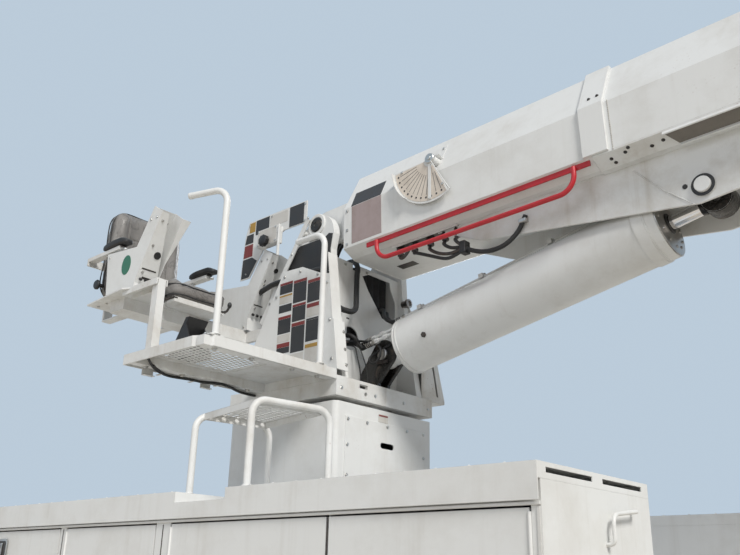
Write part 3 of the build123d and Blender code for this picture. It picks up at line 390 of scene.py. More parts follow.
def build_brush():
    """Lines and value of drawn or machined metal."""
    net, entry, result = shader_group("machining", {"Height": float, "Tone": float}, Stretch=(4, 300, 300))
    place = net.place()
    lines = net.stretched(place, entry["Stretch"], 4, 0.7)
    cloud = net.noise(place, 14.0, 6, 0.6)
    net.put(lines, result["Height"])
    net.put(net.plus(net.times(lines, 0.4), net.times(cloud, 0.6)), result["Tone"])


# Finishes


def new_finish(name, **fixed):
    """New material; returns its wiring and the inputs of its Principled shader, with the fixed values set."""
    material = bpy.data.materials.new(name)
    material.use_nodes = True
    shader = material.node_tree.nodes["Principled BSDF"].inputs
    for label, value in fixed.items():
        shader[label.replace("_", " ")].default_value = value
    return Wiring(material.node_tree), shader


def look(net, shader, colour, roughness, height, strength, distance, normal=None):
    """Colour, roughness and relief of a finish."""
    net.put(colour, shader["Base Color"])
    net.put(roughness, shader["Roughness"])
    bump = net.add("ShaderNodeBump", {"Height": height, "Strength": strength, "Distance": distance})
    if normal is not None:
        net.put(normal, bump.inputs["Normal"])
    net.put(bump.outputs[0], shader["Normal"])


def coated(name, colour, soil, soiling, under, chipping, gloss, scale=3.0, streaks=0.6, rust=0.0, grain=420.0,
           depth=0.05, dents=0.25, radius=0.0025, **fixed):
    """Paint, enamel, rubber or moulded plastic: soiled in patches and streaks, rubbed along its edges."""
    net, shader = new_finish(name, **fixed)
    grime = net.group("grime", Scale=scale, Patches=0.8, Streaks=streaks)["Mask"]
    edge = net.group("rubbed edge", Radius=radius, Amount=chipping, Scale=34.0)
    peel = net.group("peel", Scale=grain, Dents=dents)["Height"]
    tone = net.soiled_and_shaded(grime, soiling, colour, soil)
    if rust:
        tone = net.mixed(net.group("specks", Scale=48.0, Amount=rust)["Mask"], tone, (0.21, 0.075, 0.025))
    look(
        net, shader, net.mixed(edge["Mask"], tone, under),
        net.spread(grime, 0.0, 1.0, gloss, min(1.0, gloss + 0.33)), peel, depth, 0.002, edge["Normal"])


def bare(name, dark, light, rough_low, rough_high, stretch, stain, staining, depth):
    """Bare or plated metal with machining lines, cloudy tone and light staining."""
    net, shader = new_finish(name, Metallic=1.0)
    brush = net.group("machining", Stretch=stretch)
    grime = net.group("grime", Scale=11.0, Patches=0.9, Streaks=0.3)["Mask"]
    edge = net.group("rubbed edge", Radius=0.0015, Amount=0.4, Scale=60.0)
    tone = net.mixed(net.spread(brush["Tone"], 0.3, 0.7), dark, light)
    look(net, shader, net.mixed(edge["Mask"], net.soiled_and_shaded(grime, staining, tone, stain), light),
         net.spread(brush["Tone"], 0.3, 0.7, rough_low, rough_high), brush["Height"], depth, 0.001, edge["Normal"])


# Enamels: colour, soil, soiling, rubbed colour, rubbing, roughness, scale of the soil
ENAMELS = {
    SLATE: ((0.03, 0.032, 0.036), (0.13, 0.12, 0.11), 0.3, (0.3, 0.29, 0.28), 0.6, 0.56, 16.0),
    WINE: ((0.2, 0.03, 0.03), (0.26, 0.16, 0.14), 0.4, (0.4, 0.28, 0.25), 0.6, 0.52, 16.0),
    AMBER: ((0.42, 0.25, 0.05), (0.34, 0.27, 0.16), 0.5, (0.6, 0.55, 0.45), 0.5, 0.5, 16.0),
    "mauve enamel": ((0.36, 0.29, 0.285), (0.26, 0.21, 0.19), 0.6, (0.5, 0.46, 0.44), 0.6, 0.4, 18.0),
    PALE: ((0.6, 0.585, 0.555), (0.38, 0.34, 0.28), 0.5, (0.42, 0.4, 0.38), 0.5, 0.34, 14.0),
    "tan enamel": ((0.67, 0.605, 0.535), (0.36, 0.31, 0.25), 0.5, (0.42, 0.4, 0.38), 0.5, 0.5, 14.0),
    "green enamel": ((0.02, 0.15, 0.085), (0.1, 0.2, 0.1), 0.4, (0.35, 0.42, 0.36), 0.4, 0.3, 18.0),
}

# Bare metals: dark and light tone, lowest and highest roughness, stretch, stain, staining, depth
METALS = {
    "chrome": ((0.62, 0.63, 0.65), (0.8, 0.8, 0.82), 0.06, 0.14, (9, 9, 9), (0.16, 0.13, 0.1), 0.25, 0.02),
    STEEL: ((0.3, 0.295, 0.285), (0.5, 0.49, 0.475), 0.24, 0.42, (30, 30, 900), (0.12, 0.055, 0.025), 0.7, 0.1),
    ZINC: ((0.46, 0.46, 0.45), (0.66, 0.65, 0.62), 0.26, 0.4, (60, 60, 60), (0.2, 0.12, 0.06), 0.5, 0.05),
    DARK: ((0.055, 0.052, 0.05), (0.13, 0.125, 0.12), 0.36, 0.55, (80, 80, 80), (0.14, 0.06, 0.03), 0.5, 0.12),
}


def make_finishes(settings):
    """Every finish of the unit."""
    for build in (build_grime, build_edge, build_specks, build_peel, build_grain, build_brush):
        build()
    white, dirt, chips = tuple(settings.white), settings.dirt, settings.chips
    primer = (0.3, 0.29, 0.27)
    coated(WHITE, white, (0.4, 0.37, 0.32), dirt, primer, chips, 0.38, rust=0.3, streaks=0.4, Coat_Weight=0.12,
           Coat_Roughness=0.3)
    coated(WORN, tuple(0.96 * c for c in white), (0.38, 0.33, 0.26), min(1, dirt * 1.5), primer, chips * 1.6, 0.42,
           scale=5.0, streaks=0.45, rust=0.6)
    coated("red paint", tuple(settings.red), (0.16, 0.02, 0.02), dirt, (0.62, 0.3, 0.28), chips, 0.36, scale=8.0,
           Coat_Weight=0.15, Coat_Roughness=0.3)
    coated("grey paint", tuple(settings.grey), (0.2, 0.17, 0.13), 0.7, (0.17, 0.09, 0.05), 0.7, 0.45, scale=4.0,
           rust=1.0, grain=220.0)
    coated(RUBBER, (0.016, 0.016, 0.017), (0.1, 0.092, 0.08), 0.35, (0.055, 0.055, 0.055), 0.5, 0.5, scale=14.0,
           streaks=0.2, grain=900.0, depth=0.16)
    coated(PLASTIC, (0.014, 0.014, 0.015), (0.11, 0.105, 0.095), 0.28, (0.06, 0.06, 0.06), 0.4, 0.42, scale=10.0,
           streaks=0.2, grain=1300.0, depth=0.3, dents=0.1)
    for name, (*values, scale) in ENAMELS.items():
        coated(name, *values, scale=scale, radius=0.001)
    # dark taupe coat for the floor of the channel on the boom's lower bevels: painted shade of the boom's open
    # underside
    coated("shaded coat", (0.185, 0.17, 0.15), (0.1, 0.095, 0.085), 0.7, primer, 0.4, 0.6, scale=5.0)
    coated("joint sealant", (0.52, 0.51, 0.48), (0.25, 0.22, 0.18), 0.8, (0.5, 0.48, 0.45), 0.1, 0.55, scale=22.0,
           grain=260.0, depth=0.3)
    for name, values in METALS.items():
        bare(name, *values)
    make_galvanised()
    make_vinyl(tuple(settings.vinyl))
    make_grease_and_shade()
    make_grip()


def make_galvanised():
    """Hot-dip zinc with spangles and a rolled tread pattern."""
    net, shader = new_finish("galvanised tread", Metallic=0.85)
    place = net.place()
    grime = net.group("grime", Scale=4.0, Patches=1.0, Streaks=0.2)["Mask"]
    tone = net.mixed(net.cells(place, 55.0)["Color"], (0.34, 0.345, 0.35), (0.52, 0.525, 0.53))
    parts = net.add("ShaderNodeSeparateXYZ", {"Vector": place}).outputs
    diagonal = net.plus(parts[0], parts[1])
    counter = net.maths("SUBTRACT", parts[0], parts[1])

    def squared(line, shift, narrowness):
        """Squared distance from the middle of a ridge, along one of its ways."""
        part = net.off_centre(net.maths("FRACT", net.maths("MULTIPLY_ADD", line, 17.0, shift)))
        return net.times(part, net.times(part, narrowness))

    ridges = []
    for long_way, short_way, shift in ((diagonal, counter, 0.0), (counter, diagonal, 0.5)):
        oval = net.plus(squared(long_way, shift, 9.0), squared(short_way, 0.5 * shift, 120.0))
        ridges.append(net.spread(oval, 1.0, 0.6))
    look(net, shader, net.soiled_and_shaded(grime, 0.7, tone, (0.17, 0.15, 0.12)), net.spread(grime, 0, 1, 0.32, 0.62),
         net.maths("MAXIMUM", *ridges), 0.8, 0.0025)


def make_vinyl(colour):
    """Embossed seat vinyl, faded in patches, and dark in its creases as painted shade."""
    net, shader = new_finish("seat vinyl", Coat_Weight=0.08)
    grain = net.group("vinyl grain", Scale=330.0)
    grime = net.group("grime", Scale=7.0, Patches=0.9, Streaks=0.2)["Mask"]
    faded = net.soiled_and_shaded(grime, 0.55, colour, tuple(min(1, 1.7 * c) for c in colour))
    look(net, shader, net.soiled_and_shaded(grain["Creases"], 0.6, faded, tuple(0.45 * c for c in colour)),
         net.spread(grime, 0, 1, 0.4, 0.62), grain["Height"], 0.35, 0.0012)


def make_grease_and_shade():
    """Black grease, smeared and wet in places, thin enough elsewhere to show the metal; the same black also serves
    as painted shade on the lift clevis.
    """
    net, shader = new_finish("grease")
    blotches = net.noise(net.place(), 16.0, 8, 0.65, 0.8)
    paler_parts = net.spread(blotches, 0.56, 0.7)
    look(net, shader, net.mixed(paler_parts, (0.01, 0.009, 0.008), (0.1, 0.075, 0.055)),
         net.spread(blotches, 0.35, 0.7, 0.12, 0.55), blotches, 0.7, 0.006)


def make_grip():
    """Gritty dark strip that feet stand on."""
    net, shader = new_finish("grip strip")
    grit = net.cells(net.place(), 520.0)
    grime = net.group("grime", Scale=8.0, Patches=1.0, Streaks=0.0)["Mask"]
    sand = net.mixed(grit["Color"], (0.028, 0.028, 0.03), (0.085, 0.084, 0.082))
    look(net, shader, net.soiled_and_shaded(grime, 0.6, sand, (0.16, 0.14, 0.115)), net.spread(grime, 0, 1, 0.75, 0.95),
         grit["Distance"], 0.6, 0.0012)


# CAD nodes of each finish; the rest are white paint
FINISH_NODES = {
    "grey paint": ("subframe",),
    "galvanised tread": ("deck",),
    STEEL: ("bearing_ring", "slew_ring", "pivot_pin", "base_pin", "tip_sheave", "sheave_pin"),
    # the lift clevis is black partly from grease and partly as painted shade of the dark opening round the
    # cylinder's base
    "grease": ("lift_clevis",),
    "red paint": ("guard_rail",),
    "chrome": ("lift_rod",),
    PLASTIC: ("armrests", "foot_pedal"),
    RUBBER: ("loop_hose",),
    PALE: ("wear_pads", "mid_pads"),
    "seat vinyl": ("seat_cushion", "seat_back"),
    WORN: ("turret_base", "operator_platform", "seat_frame", "boom_keel", "barrel_lines", "step_stand",
           "side_cover"),
}
NODE_FINISHES = {node: finish for finish, nodes in FINISH_NODES.items() for node in nodes}


# Shapes


class Shape:
    """Faces of one piece, each part with its own finish."""

    def __init__(self):
        self.mesh = bmesh.new()
        self.finishes = []

    def take(self, part, finish, place=None, smooth=False):
        """Adds a bmesh with one finish and frees it."""
        if finish not in self.finishes:
            self.finishes.append(finish)
        index = self.finishes.index(finish)
        bmesh.ops.recalc_face_normals(part, faces=part.faces)
        for face in part.faces:
            face.material_index = index
            face.smooth = smooth
        if place is not None:
            part.transform(place)
        store = bpy.data.meshes.new("part")
        part.to_mesh(store)
        part.free()
        self.mesh.from_mesh(store)
        bpy.data.meshes.remove(store)

    def block(self, size, finish, place, bevel=0.001):
        """Box centred on its place, with softened edges."""
        part = bmesh.new()
        bmesh.ops.create_cube(part, size=1.0, matrix=Matrix.Diagonal((*size, 1)))
        if bevel:
            bmesh.ops.bevel(part, geom=part.edges[:], offset=min(bevel, 0.3 * min(size)), segments=2,
                            affect="EDGES", profile=0.5)
        self.take(part, finish, place)

    def slab(self, outline, depth, finish, place, bevel=0.0):
        """Flat outline in local x and y, thickened along local z."""
        part = bmesh.new()
        face = part.faces.new([part.verts.new((x, y, 0)) for x, y in outline])
        if face.normal.z < 0:
            face.normal_flip()
        risen = bmesh.ops.extrude_face_region(part, geom=[face])["geom"]
        bmesh.ops.translate(part, verts=[v for v in risen if isinstance(v, bmesh.types.BMVert)], vec=(0, 0, depth))
        bmesh.ops.recalc_face_normals(part, faces=part.faces)
        if bevel:
            top = [e for e in part.edges if all(abs(v.co.z - depth) < 1e-7 for v in e.verts)]
            bmesh.ops.bevel(part, geom=top, offset=bevel, segments=2, affect="EDGES", profile=0.5)
        self.take(part, finish, place)

    def turned(self, profile, finish, place, sides=28, smooth=True, loop=False):
        """Profile of (radius, height) turned round local z, closed by end caps or, as a loop, into a ring."""
        part = bmesh.new()
        rings = []
        for radius, height in profile:
            ring = round_points(sides, radius) if radius >= 1e-6 else [(0, 0)]
            rings.append([part.verts.new((x, y, height)) for x, y in ring])
        for first, second in zip(rings, rings[1:] + rings[:1] if loop else rings[1:]):
            for k in range(sides):
                corners = [first[k % len(first)], first[(k + 1) % len(first)], second[(k + 1) % len(second)],
                           second[k % len(second)]]
                corners = list(dict.fromkeys(corners))
                if len(corners) > 2:
                    part.faces.new(corners)
        for ring in (rings[0], rings[-1]):
            if len(ring) > 1 and not loop:
                part.faces.new(ring)
        self.take(part, finish, place, smooth)

    def hexagon(self, profile, finish, place):
        """Profile turned into a flat-sided hexagon."""
        self.turned(profile, finish, place, 6, smooth=False)

    def fitting(self, radius, low, high, neck, top, finish, place):
        """Hexagon with a narrower hexagon on it."""
        self.hexagon([(radius, low), (radius, high), (neck, high + 0.001), (neck, top), (0, top)], finish, place)

    def pipe(self, points, radius, finish=RUBBER, sides=3, steps=6, closed=False):
        """Round tube along a smooth line through its points."""
        line = bpy.data.curves.new("pipe", "CURVE")
        line.dimensions = "3D"
        spline = line.splines.new("NURBS")
        spline.points.add(len(points) - 1)
        for point, place in zip(spline.points, points):
            point.co = (*place, 1)
        spline.order_u = 3
        spline.use_endpoint_u = not closed
        spline.use_cyclic_u = closed
        line.resolution_u = steps
        line.bevel_depth = radius
        line.bevel_resolution = sides
        line.use_fill_caps = not closed
        holder = bpy.data.objects.new("pipe", line)
        made = bpy.data.meshes.new_from_object(holder)
        part = bmesh.new()
        part.from_mesh(made)
        bmesh.ops.remove_doubles(part, verts=part.verts, dist=1e-6)
        self.take(part, finish, None, True)
        bpy.data.objects.remove(holder)
        bpy.data.curves.remove(line)
        bpy.data.meshes.remove(made)

    def ball(self, radius, finish, place, squash=(1, 1, 1)):
        part = bmesh.new()
        bmesh.ops.create_icosphere(part, subdivisions=3, radius=radius, matrix=Matrix.Diagonal((*squash, 1)))
        self.take(part, finish, place, True)

    def made(self, name, sharp=32):
        """Object of the faces, with edges sharper than the given angle left crisp."""
        limit = math.radians(sharp)
        for edge in self.mesh.edges:
            edge.smooth = len(edge.link_faces) == 2 and edge.calc_face_angle(0) < limit
        mesh = bpy.data.meshes.new(name)
        self.mesh.to_mesh(mesh)
        self.mesh.free()
        return linked(name, mesh, self.finishes)

    def piece(self, name, body, slot=None, sharp=32):
        """Makes the piece and rides it on its body."""
        return dress(self.made(name, sharp), body)

    def crossing(self, name):
        """Makes a piece of hoses that runs from one body to the next; it rides on neither body."""
        made = self.made(name)
        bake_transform(made)


def linked(name, mesh, finishes=()):
    """Object of a mesh with its finishes, in the scene."""
    made = bpy.data.objects.new(name, mesh)
    bpy.context.scene.collection.objects.link(made)
    # clearing resets which finish each face has, so a mesh without finishes is left alone
    if len(mesh.materials):
        mesh.materials.clear()
    for finish in finishes:
        mesh.materials.append(bpy.data.materials[finish])
    return made


def dress(made, body):
    """Rides a piece on its body."""
    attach(made, body)
    return made


def evaluated(made):
    """Mesh of an object with its modifiers worked in."""
    return bpy.data.meshes.new_from_object(made.evaluated_get(bpy.context.evaluated_depsgraph_get()))


# Geometry nodes


def geometry_group(name, **inputs):
    """New geometry node group; returns its wiring, its input sockets and its output socket."""
    net, entry, result = new_group(
        name, "GeometryNodeTree", {label.replace("_", " "): value for label, value in inputs.items()})
    return net, entry, result[0]


def build_fasteners():
    """A headed fastener on a washer at every point, turned along the point's own outward direction."""
    net, entry, result = geometry_group(
        "fasteners", Head_Radius=0.01, Crown_Radius=0.009, Head_Height=0.008, Washer_Radius=0.014,
        Washer_Height=0.002, Sides=6, Seed=3, Finish=None)

    def cone(sides, top, bottom, depth):
        return net.first(
            "GeometryNodeMeshCone", {"Vertices": sides, "Radius Top": entry[top], "Radius Bottom": entry[bottom],
                "Depth": entry[depth]})

    head = cone(entry["Sides"], "Crown Radius", "Head Radius", "Head Height")
    lift = net.first("ShaderNodeCombineXYZ", {"Z": entry["Washer Height"]})
    raised = net.first("GeometryNodeTransform", {"Geometry": head, "Translation": lift})
    both = net.joined(raised, cone(14, "Washer Radius", "Washer Radius", "Washer Height"))
    outward = net.add("GeometryNodeInputNamedAttribute", {"Name": "outward"}, data_type="FLOAT_VECTOR")
    turn = net.first("FunctionNodeAlignRotationToVector", {"Vector": outward.outputs["Attribute"]}, axis="Z")
    spin = net.add("FunctionNodeRandomValue", {"Seed": entry["Seed"]}, data_type="FLOAT")
    net.put(0.0, spin.inputs[2])
    net.put(2 * math.pi, spin.inputs[3])
    about = net.first("ShaderNodeCombineXYZ", {"Z": spin.outputs[1]})
    as_turn = net.first("FunctionNodeEulerToRotation", {"Euler": about})
    turned = net.first(
        "FunctionNodeRotateRotation", {"Rotation": turn, "Rotate By": as_turn}, rotation_space="LOCAL")
    net.dressed(net.copies(entry["Geometry"], both, Rotation=turned), entry, result)


def build_perforated():
    """Flat plate with staggered round holes, lying in local x and y."""
    net, entry, result = geometry_group(
        "perforated plate", Length=0.4, Width=0.4, Thickness=0.005, Hole_Radius=0.007, Pitch=0.023, Sides=8,
        Border=0.03, Finish=None)

    def count(side):
        """Rows of holes that fit between the borders, and how far they reach."""
        room = net.maths("SUBTRACT", entry[side], net.times(entry["Border"], 2.0))
        steps = net.maths("FLOOR", net.maths("DIVIDE", room, entry["Pitch"]))
        return net.plus(steps, 1.0), net.times(steps, entry["Pitch"])

    rows_x, span_x = count("Length")
    rows_y, span_y = count("Width")
    spots = net.first(
        "GeometryNodeMeshGrid", {"Size X": span_x, "Size Y": span_y, "Vertices X": rows_x, "Vertices Y": rows_y})
    number = net.first("GeometryNodeInputIndex")
    odd = net.maths("MODULO", net.maths("MODULO", number, rows_y), 2.0)
    shift = net.times(net.maths("SUBTRACT", odd, 0.5), net.times(entry["Pitch"], 0.5))
    moved = net.first(
        "GeometryNodeSetPosition", {"Geometry": spots, "Offset": net.first("ShaderNodeCombineXYZ", {"X": shift})})
    ring = net.first(
        "GeometryNodeCurvePrimitiveCircle", {"Resolution": entry["Sides"], "Radius": entry["Hole Radius"]})
    holes = net.copies(moved, ring)
    border = net.first(
        "GeometryNodeCurvePrimitiveQuadrilateral", {"Width": entry["Length"], "Height": entry["Width"]})
    sheet = net.first("GeometryNodeFillCurve", {"Curve": net.joined(holes, border)})
    risen = net.first(
        "GeometryNodeExtrudeMesh", {"Mesh": sheet, "Offset Scale": entry["Thickness"], "Individual": False})
    whole = net.joined(risen, net.first("GeometryNodeFlipFaces", {"Mesh": sheet}))
    closed = net.first("GeometryNodeMergeByDistance", {"Geometry": whole, "Distance": 1e-5})
    net.dressed(net.first("GeometryNodeRealizeInstances", {"Geometry": closed}), entry, result)


def build_beads():
    """A row of small overlapping drops along a line: a weld, or stitches when long and apart."""
    net, entry, result = geometry_group("bead row", Pitch=0.006, Stretch=(0.005, 0.004, 0.003), Finish=None)
    line = net.first("GeometryNodeMeshToCurve", {"Mesh": entry["Geometry"]})
    spaced = net.add("GeometryNodeCurveToPoints", {"Curve": line, "Length": entry["Pitch"]}, mode="LENGTH").outputs
    drop = net.first("GeometryNodeMeshIcoSphere", {"Radius": 1.0, "Subdivisions": 1})
    turn = net.first("FunctionNodeAlignRotationToVector", {"Vector": spaced["Tangent"]}, axis="X")
    real = net.copies(spaced[0], drop, Rotation=turn, Scale=entry["Stretch"])
    net.dressed(net.first("GeometryNodeSetShadeSmooth", {"Geometry": real}), entry, result)


def bake(name, group, finish, body, slot=None, place=None, points=(), edges=(), outward=(), **values):
    """Runs a geometry node group on points and edges and makes the result a plain piece."""
    mesh = bpy.data.meshes.new("holder")
    mesh.from_pydata([tuple(point) for point in points], edges, [])
    if outward:
        stored = mesh.attributes.new("outward", "FLOAT_VECTOR", "POINT")
        for item, direction in zip(stored.data, outward):
            item.vector = Vector(direction).normalized()
    holder = linked("holder", mesh)
    tree = bpy.data.node_groups[group]
    modifier = holder.modifiers.new("made", "NODES")
    modifier.node_group = tree
    values = {**values, "Finish": bpy.data.materials[finish]}
    for item in tree.interface.items_tree:
        key = item.name.replace(" ", "_")
        if item.item_type == "SOCKET" and item.in_out == "INPUT" and key in values:
            modifier[item.identifier] = values[key]
    made = evaluated(holder)
    bpy.data.objects.remove(holder)
    bpy.data.meshes.remove(mesh)
    if not made.polygons:
        raise RuntimeError(f"{name} came out empty")
    made.name = name
    if place is not None:
        made.transform(place)
    return dress(linked(name, made, [finish]), body)


def fasteners(name, body, spots, kind, share=1.0, height=0.7, washer=1.35, sides=6, crown=0.92, finish=ZINC,
              slot=None):
    """Bolts, screws or rivets at (point, outward direction) spots, sized by a share of one setting."""
    points, outward = zip(*spots)
    head = share * getattr(bpy.context.scene.boom_unit_fasteners, kind)
    return bake(name, "fasteners", finish, body, slot, points=points, outward=outward, Head_Radius=head,
                Crown_Radius=crown * head, Head_Height=height * head, Washer_Radius=washer * head,
                Washer_Height=0.16 * head, Sides=sides, Seed=len(spots))


def bead_rows(name, body, lines, pitch, stretch, finish=WORN, slot="white_paint"):
    """Weld or stitch rows along lists of points."""
    points, edges = [], []
    for line in lines:
        first = len(points)
        points += line
        edges += [(k, k + 1) for k in range(first, len(points) - 1)]
    return bake(name, "bead row", finish, body, slot, points=points, edges=edges, Pitch=pitch, Stretch=stretch)


def on_face(place, x, y):
    """Spot at local x and y of a placement, facing along its normal."""
    return place @ Vector((x, y, 0)), place.to_3x3() @ Z


def heads(way, points):
    """Spots at points, all facing one way."""
    return [(Vector(point), way) for point in points]


def circle(centre, radius, count, start=0.0):
    """Spots round a level circle, facing up."""
    return heads(Z, [Vector(centre) - Y * x + X * y for x, y in round_points(count, radius, start)])


# Operators


class BOOMUNIT_OT_finishes(Operator):
    """Makes the finishes and gives every CAD node its own"""

    bl_idname = "boom_unit.finishes"
    bl_label = "Finishes"

    def execute(self, context):
        make_finishes(context.scene.boom_unit_finishes)
        for name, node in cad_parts.items():
            finish = bpy.data.materials[NODE_FINISHES.get(name, WHITE)]
            node.data.materials.clear()
            node.data.materials.append(finish)
        build_fasteners()
        build_perforated()
        build_beads()
        return {"FINISHED"}


class BOOMUNIT_OT_gratings(Operator):
    """Makes the perforated platform floor and step tread"""

    bl_idname = "boom_unit.gratings"
    bl_label = "Perforated floor and tread"

    def execute(self, context):
        settings = context.scene.boom_unit_grating

        def plate(name, body, length, width, thickness, hole, pitch, border, place):
            return bake(name, "perforated plate", WORN, body, "white_paint", place, Length=length, Width=width,
                        Thickness=thickness, Hole_Radius=hole, Pitch=pitch, Sides=settings.sides, Border=border)

        low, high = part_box("platform_grating")
        centre = (low + high) / 2
        floor = plate("perforated_floor", "turret", high.x - low.x, high.y - low.y, 0.0015, settings.hole,
                      settings.pitch, 0.022, move(centre.x, centre.y, high.z - 0.0015))
        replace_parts(floor, "platform_grating")
        low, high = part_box("step_tread")
        place = move((low.x + high.x) / 2, (low.y + high.y) / 2, high.z - 0.002) @ STEP_TURN
        top = plate("perforated_tread", "truck_body", 0.421, 0.29, 0.002, 0.0105, 0.031, 0.016, place)
        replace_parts(top, "step_tread")
        skirt = Shape()
        for x, y, along, across in ((0, 0.1435, 0.421, 0.003), (0, -0.1435, 0.421, 0.003), (0.209, 0, 0.003, 0.284),
                                    (-0.209, 0, 0.003, 0.284)):
            skirt.block((along, across, 0.026), WORN, place @ move(x, y, -0.013), 0.0006)
        skirt.piece("tread_skirt", "truck_body", "white_paint")
        return {"FINISHED"}


# Seat


def pillow(size, plan, edge, shape=None):
    """Closed pillow form of the given size, squarish in plan and round at its edges, then shaped."""
    part = bmesh.new()
    bmesh.ops.create_uvsphere(part, u_segments=96, v_segments=48, radius=1.0)

    def power(value, exponent):
        return math.copysign(abs(value) ** exponent, value)

    for vertex in part.verts:
        x, y, z = vertex.co
        ring = math.hypot(x, y)
        cos_v, sin_v = (x / ring, y / ring) if ring > 1e-9 else (1.0, 0.0)
        out = power(ring, edge)
        place = [power(cos_v, plan) * out, power(sin_v, plan) * out, power(z, edge)]
        if shape:
            place = shape(*place)
        vertex.co = [0.5 * full * value for full, value in zip(size, place)]
    return part


def ease(value, low, high):
    share = min(1.0, max(0.0, (value - low) / (high - low)))
    return share * share * (3 - 2 * share)


def stuffed(name, part, place, swell, pressure, press, body, node):
    """Stuffed cover: remeshed evenly, swelled by cloth pressure within a cap, pressed in along its seams."""
    scene = bpy.context.scene
    part.transform(place)
    start = bpy.data.meshes.new(name)
    part.to_mesh(start)
    part.free()
    made = linked(name, start)
    even = made.modifiers.new("even", "REMESH")
    even.mode = "VOXEL"
    even.voxel_size = 0.006
    made.data = evaluated(made)
    made.modifiers.remove(even)
    scene.frame_set(1)
    cloth = made.modifiers.new("stuffing", "CLOTH")
    cloth.settings.use_pressure = True
    cloth.settings.uniform_pressure_force = pressure
    cloth.settings.effector_weights.gravity = 0
    cloth.settings.quality = 4
    for number in range(1, 21):
        scene.frame_set(number)
    swelled = made.evaluated_get(bpy.context.evaluated_depsgraph_get()).data
    places = [vertex.co.copy() for vertex in swelled.vertices]
    made.modifiers.remove(cloth)
    scene.frame_set(1)
    for vertex, after in zip(made.data.vertices, places):
        moved = after - vertex.co
        if moved.length > swell:
            moved *= swell / moved.length
        vertex.co += moved
    back = place.inverted()
    for vertex in made.data.vertices:
        vertex.co = place @ press(back @ vertex.co)
    for face in made.data.polygons:
        face.use_smooth = True
    finer = made.modifiers.new("finer", "SUBSURF")
    finer.levels = finer.render_levels = 1
    made.data = evaluated(made)
    made.modifiers.remove(finer)
    made.data.materials.clear()
    made.data.materials.append(bpy.data.materials["seat vinyl"])
    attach(made, body)
    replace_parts(made, node)
    return made


def presser(along, across, seams, depth, fade, edge, low):
    """Function that presses a cover in along its seams and keeps its underside above a level."""

    def press(p):
        if p.z > 0:
            dip = sum(math.exp(-((p[along] - at) / 0.006) ** 2) for at in seams)
            p.z -= depth * dip * (1 - ease(abs(p[across]), *fade))
            p.z -= (depth + 0.001) * math.exp(-((abs(p[across]) - edge) / 0.007) ** 2)
        p.z = max(p.z, low)
        return p

    return press


def on_cover(made, place, points):
    """Points dropped onto a cover along local -z of its placement, and lifted by half a stitch."""
    tree = BVHTree.FromPolygons([v.co for v in made.data.vertices], [p.vertices for p in made.data.polygons])
    down = (place.to_3x3() @ Vector((0, 0, -1))).normalized()
    hits = [tree.ray_cast(place @ Vector((x, y, 0.3)), down)[0] for x, y in points]
    return [hit - down * 0.0006 for hit in hits if hit is not None]


def rim(made, place, height):
    """Outline of a cover at a local height."""
    back = place.inverted()
    near = [back @ v.co for v in made.data.vertices]
    near = [p for p in near if abs(p.z - height) < 0.005]
    found = []
    for way in map(Vector, round_points(44)):
        best = max(near, key=lambda p: p.xy.normalized().dot(way) * 4 + p.xy.length)
        found.append(place @ Vector((*(way * best.xy.length), height)))
    return found


